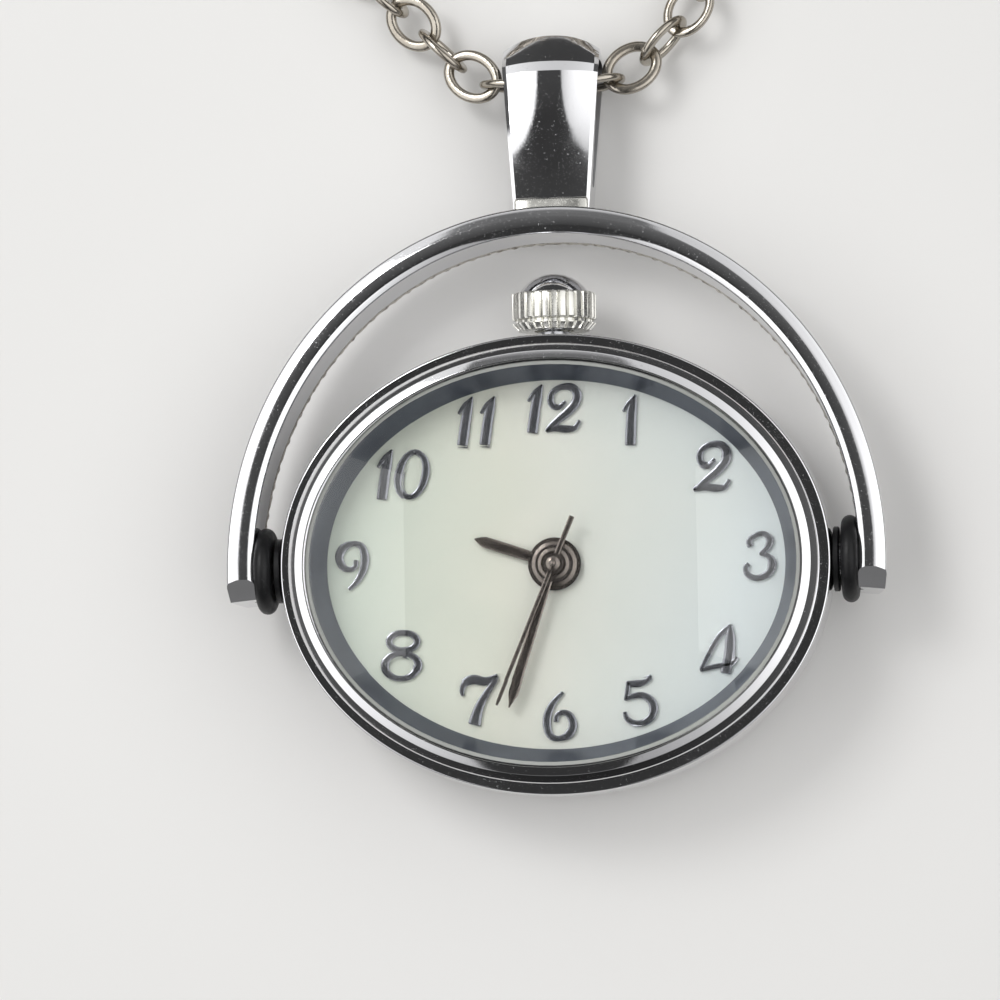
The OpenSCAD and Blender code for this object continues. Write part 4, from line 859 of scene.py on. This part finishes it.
def figure(n, lean=0):
    """Strokes of a figure; closed ones are marked."""
    if n == 0:
        return [(ring_stroke(0.34, 0.49, 0.33, 0.49, 0.15, 0.1, ZERO_LEAN), True)]
    if n == 8:
        return [(ring_stroke(0.45, 0.77, 0.33, 0.23, 0.13, 0.11), True),
                (ring_stroke(0.41, 0.29, 0.4, 0.29, 0.15, 0.1), True)]
    if n == 9:
        return [([(0.7 - x, 0.99 - y, w) for x, y, w in SIX[0]], False)]
    strokes = {1: ONE, 2: TWO, 3: THREE, 4: FOUR, 5: FIVE, 6: SIX, 7: SEVEN}[n]
    return [([(x + lean * (y - 0.5), y, w) for x, y, w in s], False) for s in strokes]


def plate_stroke(stroke, closed, scale, shift):
    """A flat-topped plate with bevelled edges along a stroke, standing on the dial."""
    line = (np.array(stroke) if closed else smooth(stroke, 6)) * (1, 1, STROKE_GAIN)
    rows = []
    count = len(line)
    for i in range(count):
        a = line[i - 1 if closed or i else i]
        b = line[(i + 1) % count if closed or i < count - 1 else i]
        d = Vector((b[0] - a[0], b[1] - a[1])).normalized()
        side = Vector((-d.y, d.x))
        middle = Vector(line[i][:2])
        section = []
        for across, below in ((1, None), *BEVEL, (-1, None)):
            p = (middle + side * line[i][2] * across) * scale + Vector(shift[:2])
            depth = NUMERAL_T if below is None else below * BEVEL_SLOPE * line[i][2] * scale
            section.append((p.x, p.y, shift[2] + NUMERAL_T - depth))
        rows.append(section)
    if closed:
        return skin(rows, round_rows=True)
    # the ends taper over a small part of the stroke's width, with the same bevel
    capped = []
    for row, inner, w in ((rows[0], rows[1], line[0][2]), (rows[-1], rows[-2], line[-1][2])):
        middle = (Vector(row[0]) + Vector(row[-1])) / 2
        out = (middle - (Vector(inner[0]) + Vector(inner[-1])) / 2).normalized() * w * scale
        caps = []
        for grow, keep, drop in ((0.14, 0.92, 0.9), (0.2, 0.8, 0.6)):
            caps.append([((p[0] - middle.x) * keep + middle.x + out.x * grow,
                          (p[1] - middle.y) * keep + middle.y + out.y * grow,
                          shift[2] + (p[2] - shift[2]) * drop) for p in row])
        capped.append(caps)
    return skin(capped[0][::-1] + rows + capped[1])


numeral_parts = []
for hour, (mid_x, mid_y) in enumerate(NUMERAL_AT, 1):
    pitch = ONES_PITCH if hour == 11 else DIGIT_PITCH
    first = pitch if hour > 9 else 0
    full = first + FIGURE_WIDTHS[hour % 10]
    base = Vector((mid_x - full / 2 * NUMERAL_H, mid_y - NUMERAL_H / 2, DIAL_TOP))
    for digit, along in [(1, 0)] * (hour > 9) + [(hour % 10, first)]:
        shift = base + Vector((along * NUMERAL_H, 0, 0))
        for stroke, closed in figure(digit, LONE_ONE_LEAN if hour == 1 else 0):
            numeral_parts.append((*plate_stroke(stroke, closed, NUMERAL_H, shift), figure_plate))
piece("raised_numerals", numeral_parts, "case", ("hour_numerals",), 14)


# Hands: stamped leaves with a crease, on stepped bosses turned in rings

HAND_T = 0.11
SECOND_Z, MINUTE_Z, HOUR_Z = 5.27, 4.95, 4.55
EDGE_DROP, EDGE_FROM = 0.13, 0.68  # the bevel along a leaf, as shares of its half width


def blade(outline, z, thick, crease):
    """A leaf along +Y: outline is (y, half width), with bevelled edges and a raised middle."""
    rows = []
    for y, half in outline:
        side = [(half, 0), (half, thick - EDGE_DROP * half), (half * EDGE_FROM, thick)]
        rows.append([(-x, y, z + up) for x, up in side] + [(0, y, z + thick + crease * half)]
                    + [(x, y, z + up) for x, up in side[::-1]])
    return skin(rows)


def boss(z, rings, bore):
    """A turned boss from (radius, height) rings, open at its bore."""
    return lathe([(r, z + h) for r, h in [(bore, 0), *rings, (bore, rings[-1][1]), (bore, 0)]])


def cone_step(outer, inner, rise):
    """A ring turned on a boss: up a slope from its outer foot to a narrow flat, then down."""
    return [(outer, HAND_T), (outer - 0.02, HAND_T + 0.008), (inner + 0.03, HAND_T + rise),
            (inner, HAND_T + rise), (inner - 0.01, HAND_T)]


hour_parts = [
    blade([(1.1, 0.25), (1.6, 0.262), (3.3, 0.27), (3.55, 0.262), (3.74, 0.2), (3.93, 0.1),
           (4.06, 0.02)], HOUR_Z, HAND_T, 0.05),
    boss(HOUR_Z, [(1.25, 0), (1.28, 0.03), (1.28, 0.08), (1.25, HAND_T)]
         + cone_step(1.09, 0.88, 0.08), 0.7)]
minute_parts = [
    blade([(0.8, 0.2), (3, 0.22), (6.3, 0.25), (6.5, 0.235), (6.75, 0.15), (7.0, 0.07),
           (7.18, 0.02)], MINUTE_Z, HAND_T, 0.04),
    boss(MINUTE_Z, [(0.87, 0), (0.9, 0.03), (0.9, 0.08), (0.87, HAND_T)]
         + cone_step(0.76, 0.58, 0.07), 0.46)]
second_parts = [
    blade([(-2.44, 0.13), (-2.3, 0.135), (-1, 0.125), (0, 0.11), (4, 0.1), (7, 0.09),
           (7.28, 0.05)], SECOND_Z, HAND_T * 0.8, 0.06),
    boss(SECOND_Z, [(0.47, 0), (0.5, 0.03), (0.5, 0.08), (0.46, HAND_T), (0.34, HAND_T),
                    (0.3, HAND_T + 0.02), (0.2, 0.17), (0.17, 0.18)], 0.13)]
# the pinion's end shows as a bright domed pip in the middle of the second hand's boss
PIP_R, PIP_H, PIP_DOME = 0.14, 0.24, 0.07
pip = lathe([(r, SECOND_Z + h) for r, h in
             [(0, 0.1), (PIP_R, 0.1), (PIP_R, PIP_H)]
             + [(PIP_R * math.cos(a), PIP_H + PIP_DOME * math.sin(a))
                for a in map(math.radians, range(15, 76, 15))] + [(0, PIP_H + PIP_DOME)]], 48)
for name, parts, body, angle, node in (
        ("hour_hand_leaf", hour_parts, "hour", 288.5, "hour_hand"),
        ("minute_hand_leaf", minute_parts, "minute", 198.5, "minute_hand"),
        ("second_hand_needle", second_parts + [pip], "seconds", 203, "second_hand")):
    clockwise = Matrix.Rotation(-math.radians(angle), 3, "Z")
    piece(name, [(*moved(p, clockwise), black_nickel) for p in parts], body,
          (node,), 14)


# Crown: fluted barrel with a groove near its skirt and a polished dome on top

CROWN_R, CROWN_H, CROWN_Y = 2.05, 1.85, 11.4
FLUTES, FLUTE_STEPS, FLUTE_DEPTH, FLUTE_SHARE = 30, 14, 0.13, 0.42
DOME_R, DOME_H, SOCKET_R = 1.7, 0.95, 0.98


def fluted(r, t):
    """Cuts the flutes into the barrel as shallow rounded grooves."""
    phase = abs((t * FLUTES / (2 * math.pi)) % 1 - 0.5) * 2  # 0 in the middle of a groove
    if phase < FLUTE_SHARE and r > CROWN_R - 0.27:
        return r - FLUTE_DEPTH * (1 - phase / FLUTE_SHARE) ** 0.7
    return r


barrel_profile = [(SOCKET_R, 0), (1.7, 0), (1.78, 0.02), (CROWN_R - 0.26, 0.05),
                  (CROWN_R - 0.02, 0.3), (CROWN_R - 0.02, 0.345), (CROWN_R - 0.2, 0.36),
                  (CROWN_R - 0.21, 0.43), (CROWN_R - 0.2, 0.5), (CROWN_R - 0.05, 0.53),
                  (CROWN_R, 0.6), (CROWN_R, 1.2), (CROWN_R, CROWN_H - 0.14),
                  (CROWN_R - 0.03, CROWN_H - 0.06), (CROWN_R - 0.1, CROWN_H - 0.01),
                  (CROWN_R - 0.28, CROWN_H), (DOME_R + 0.02, CROWN_H), (DOME_R, CROWN_H - 0.03)]
dome_bow = (DOME_R ** 2 + DOME_H ** 2) / (2 * DOME_H)
dome_angle = math.asin(DOME_R / dome_bow)
dome_profile = [(DOME_R, CROWN_H - 0.05)] + [
    (dome_bow * math.sin(a), CROWN_H + DOME_H - dome_bow * (1 - math.cos(a)))
    for a in (dome_angle * (1 - k / 20) for k in range(21))]
socket = [(SOCKET_R, 0), (0.95, 1.0), (0.3, 1.0), (0.3, 1.5), (0, 1.5)]
crown_turn = Matrix.Rotation(-math.pi / 2, 3, "X")
piece("crown_fluted", [(*moved(turned, crown_turn, (0, CROWN_Y, CROWN_Z)), plate)
                       for turned, plate in (
                           (lathe(barrel_profile, FLUTES * FLUTE_STEPS, fluted), satin_plate),
                           (lathe(dome_profile, 128), polished_plate),
                           (lathe(socket, 64), satin_plate))],
      "crown", ("crown",), 32)


# Studio: pale floor and soft light; a light tent gives the plate bright and dark bands

# Board painted a matt off-white: flat and even, with a very faint cloud.
FLOOR_HALF, FLOOR_Z = 2000, -0.1
floor_material, floor_tree, floor_shader, floor_place = finish("painted_board_pale",
                                                               Roughness=0.85)
paint = add(floor_tree, "ShaderNodeTexNoise", grain(floor_place, 60.0, Detail=2.0))
vary(floor_tree, floor_shader, paint.outputs["Fac"], ("#ebeae8", "#e6e5e3"))
floor_corners = [(x * FLOOR_HALF, y * FLOOR_HALF, FLOOR_Z)
                 for x, y in ((-1, -1), (1, -1), (1, 1), (-1, 1))]
in_scene("floor", mesh_of("floor", floor_corners, [(0, 1, 2, 3)], [floor_material]))

world = bpy.data.worlds.new("light_tent")
bpy.context.scene.world = world
world.use_nodes = True
tent = world.node_tree
tent.nodes.clear()
direction = add(tent, "ShaderNodeTexCoord").outputs["Generated"]
height = add(tent, "ShaderNodeSeparateXYZ", (direction,))
squares = add(tent, "ShaderNodeVectorMath", (direction, direction), operation="MULTIPLY")
square = add(tent, "ShaderNodeSeparateXYZ", (squares.outputs[0],))
level_square = add(tent, "ShaderNodeMath", (square.outputs["X"], square.outputs["Y"]),
                   operation="ADD")
sideways = add(tent, "ShaderNodeMath", (square.outputs["X"], level_square.outputs[0]),
               operation="DIVIDE")
# the tent's walls are brighter at the left and right than at the top and bottom
walls = add(tent, "ShaderNodeMath", (sideways.outputs[0], 1.15, 0.55),
            operation="MULTIPLY_ADD")
walls = add(tent, "ShaderNodeMath", (height.outputs["Y"], 0.25, walls.outputs[0]),
            operation="MULTIPLY_ADD")
bands = add(tent, "ShaderNodeValToRGB", (height.outputs["Z"],))
ramp = bands.color_ramp
ramp.interpolation = "LINEAR"
TENT_BANDS = [(0.0, 0.3), (0.02, 0.08), (0.4, 0.06), (0.45, 1.0), (1.0, 1.0)]  # height, level
while len(ramp.elements) < len(TENT_BANDS):
    ramp.elements.new(0.5)
for element, (where, _) in zip(ramp.elements, TENT_BANDS):
    element.position = where
for element, (_, level) in zip(ramp.elements, TENT_BANDS):
    element.color = (level, level, level, 1)
wall_light = add(tent, "ShaderNodeVectorMath", (bands.outputs[0], walls.outputs[0]),
                 operation="MULTIPLY")
# a dark opening in the tent's roof: (axis, outside at, inside at) for each of its edges
OPENING = [("X", -0.285, -0.26), ("X", 0.085, 0.06), ("Y", -0.93, -0.77), ("Y", 0.8, 0.68),
           ("Z", 0.36, 0.42)]
opening = None
for axis, outside, inside in OPENING:
    edge = add(tent, "ShaderNodeMapRange", (height.outputs[axis], outside, inside)).outputs[0]
    opening = edge if opening is None else add(tent, "ShaderNodeMath", (opening, edge),
                                               operation="MULTIPLY").outputs[0]
gloom = add(tent, "ShaderNodeMapRange", (height.outputs["Y"], 0.12, 0.5, 0.04, 0.17))
tent_light = add(tent, "ShaderNodeMix", {0: opening, 6: wall_light.outputs[0],
                                         7: gloom.outputs[0]}, data_type="RGBA")
lit = add(tent, "ShaderNodeBackground", {"Color": tent_light.outputs[2], "Strength": 1.0})
plain = add(tent, "ShaderNodeBackground", {"Color": colour("#eeeeec"), "Strength": 1.0})
seen = add(tent, "ShaderNodeLightPath").outputs["Is Camera Ray"]
both = add(tent, "ShaderNodeMixShader", (seen, lit.outputs[0], plain.outputs[0]))
add(tent, "ShaderNodeOutputWorld", {"Surface": both.outputs[0]})

KEY_PLACE, KEY_AIM = Vector((-150, 150, 260)), Vector((0, 2, 3))
KEY_SIZE, KEY_WATTS = 120, 0.28
lamp = bpy.data.lights.new("key_box", "AREA")
lamp.shape, lamp.size, lamp.size_y = "RECTANGLE", KEY_SIZE * MM, KEY_SIZE * MM
lamp.energy = KEY_WATTS
key_box = in_scene("key_box", lamp)
key_box.location = KEY_PLACE * MM
key_box.rotation_euler = (KEY_PLACE - KEY_AIM).to_track_quat("Z", "Y").to_euler()
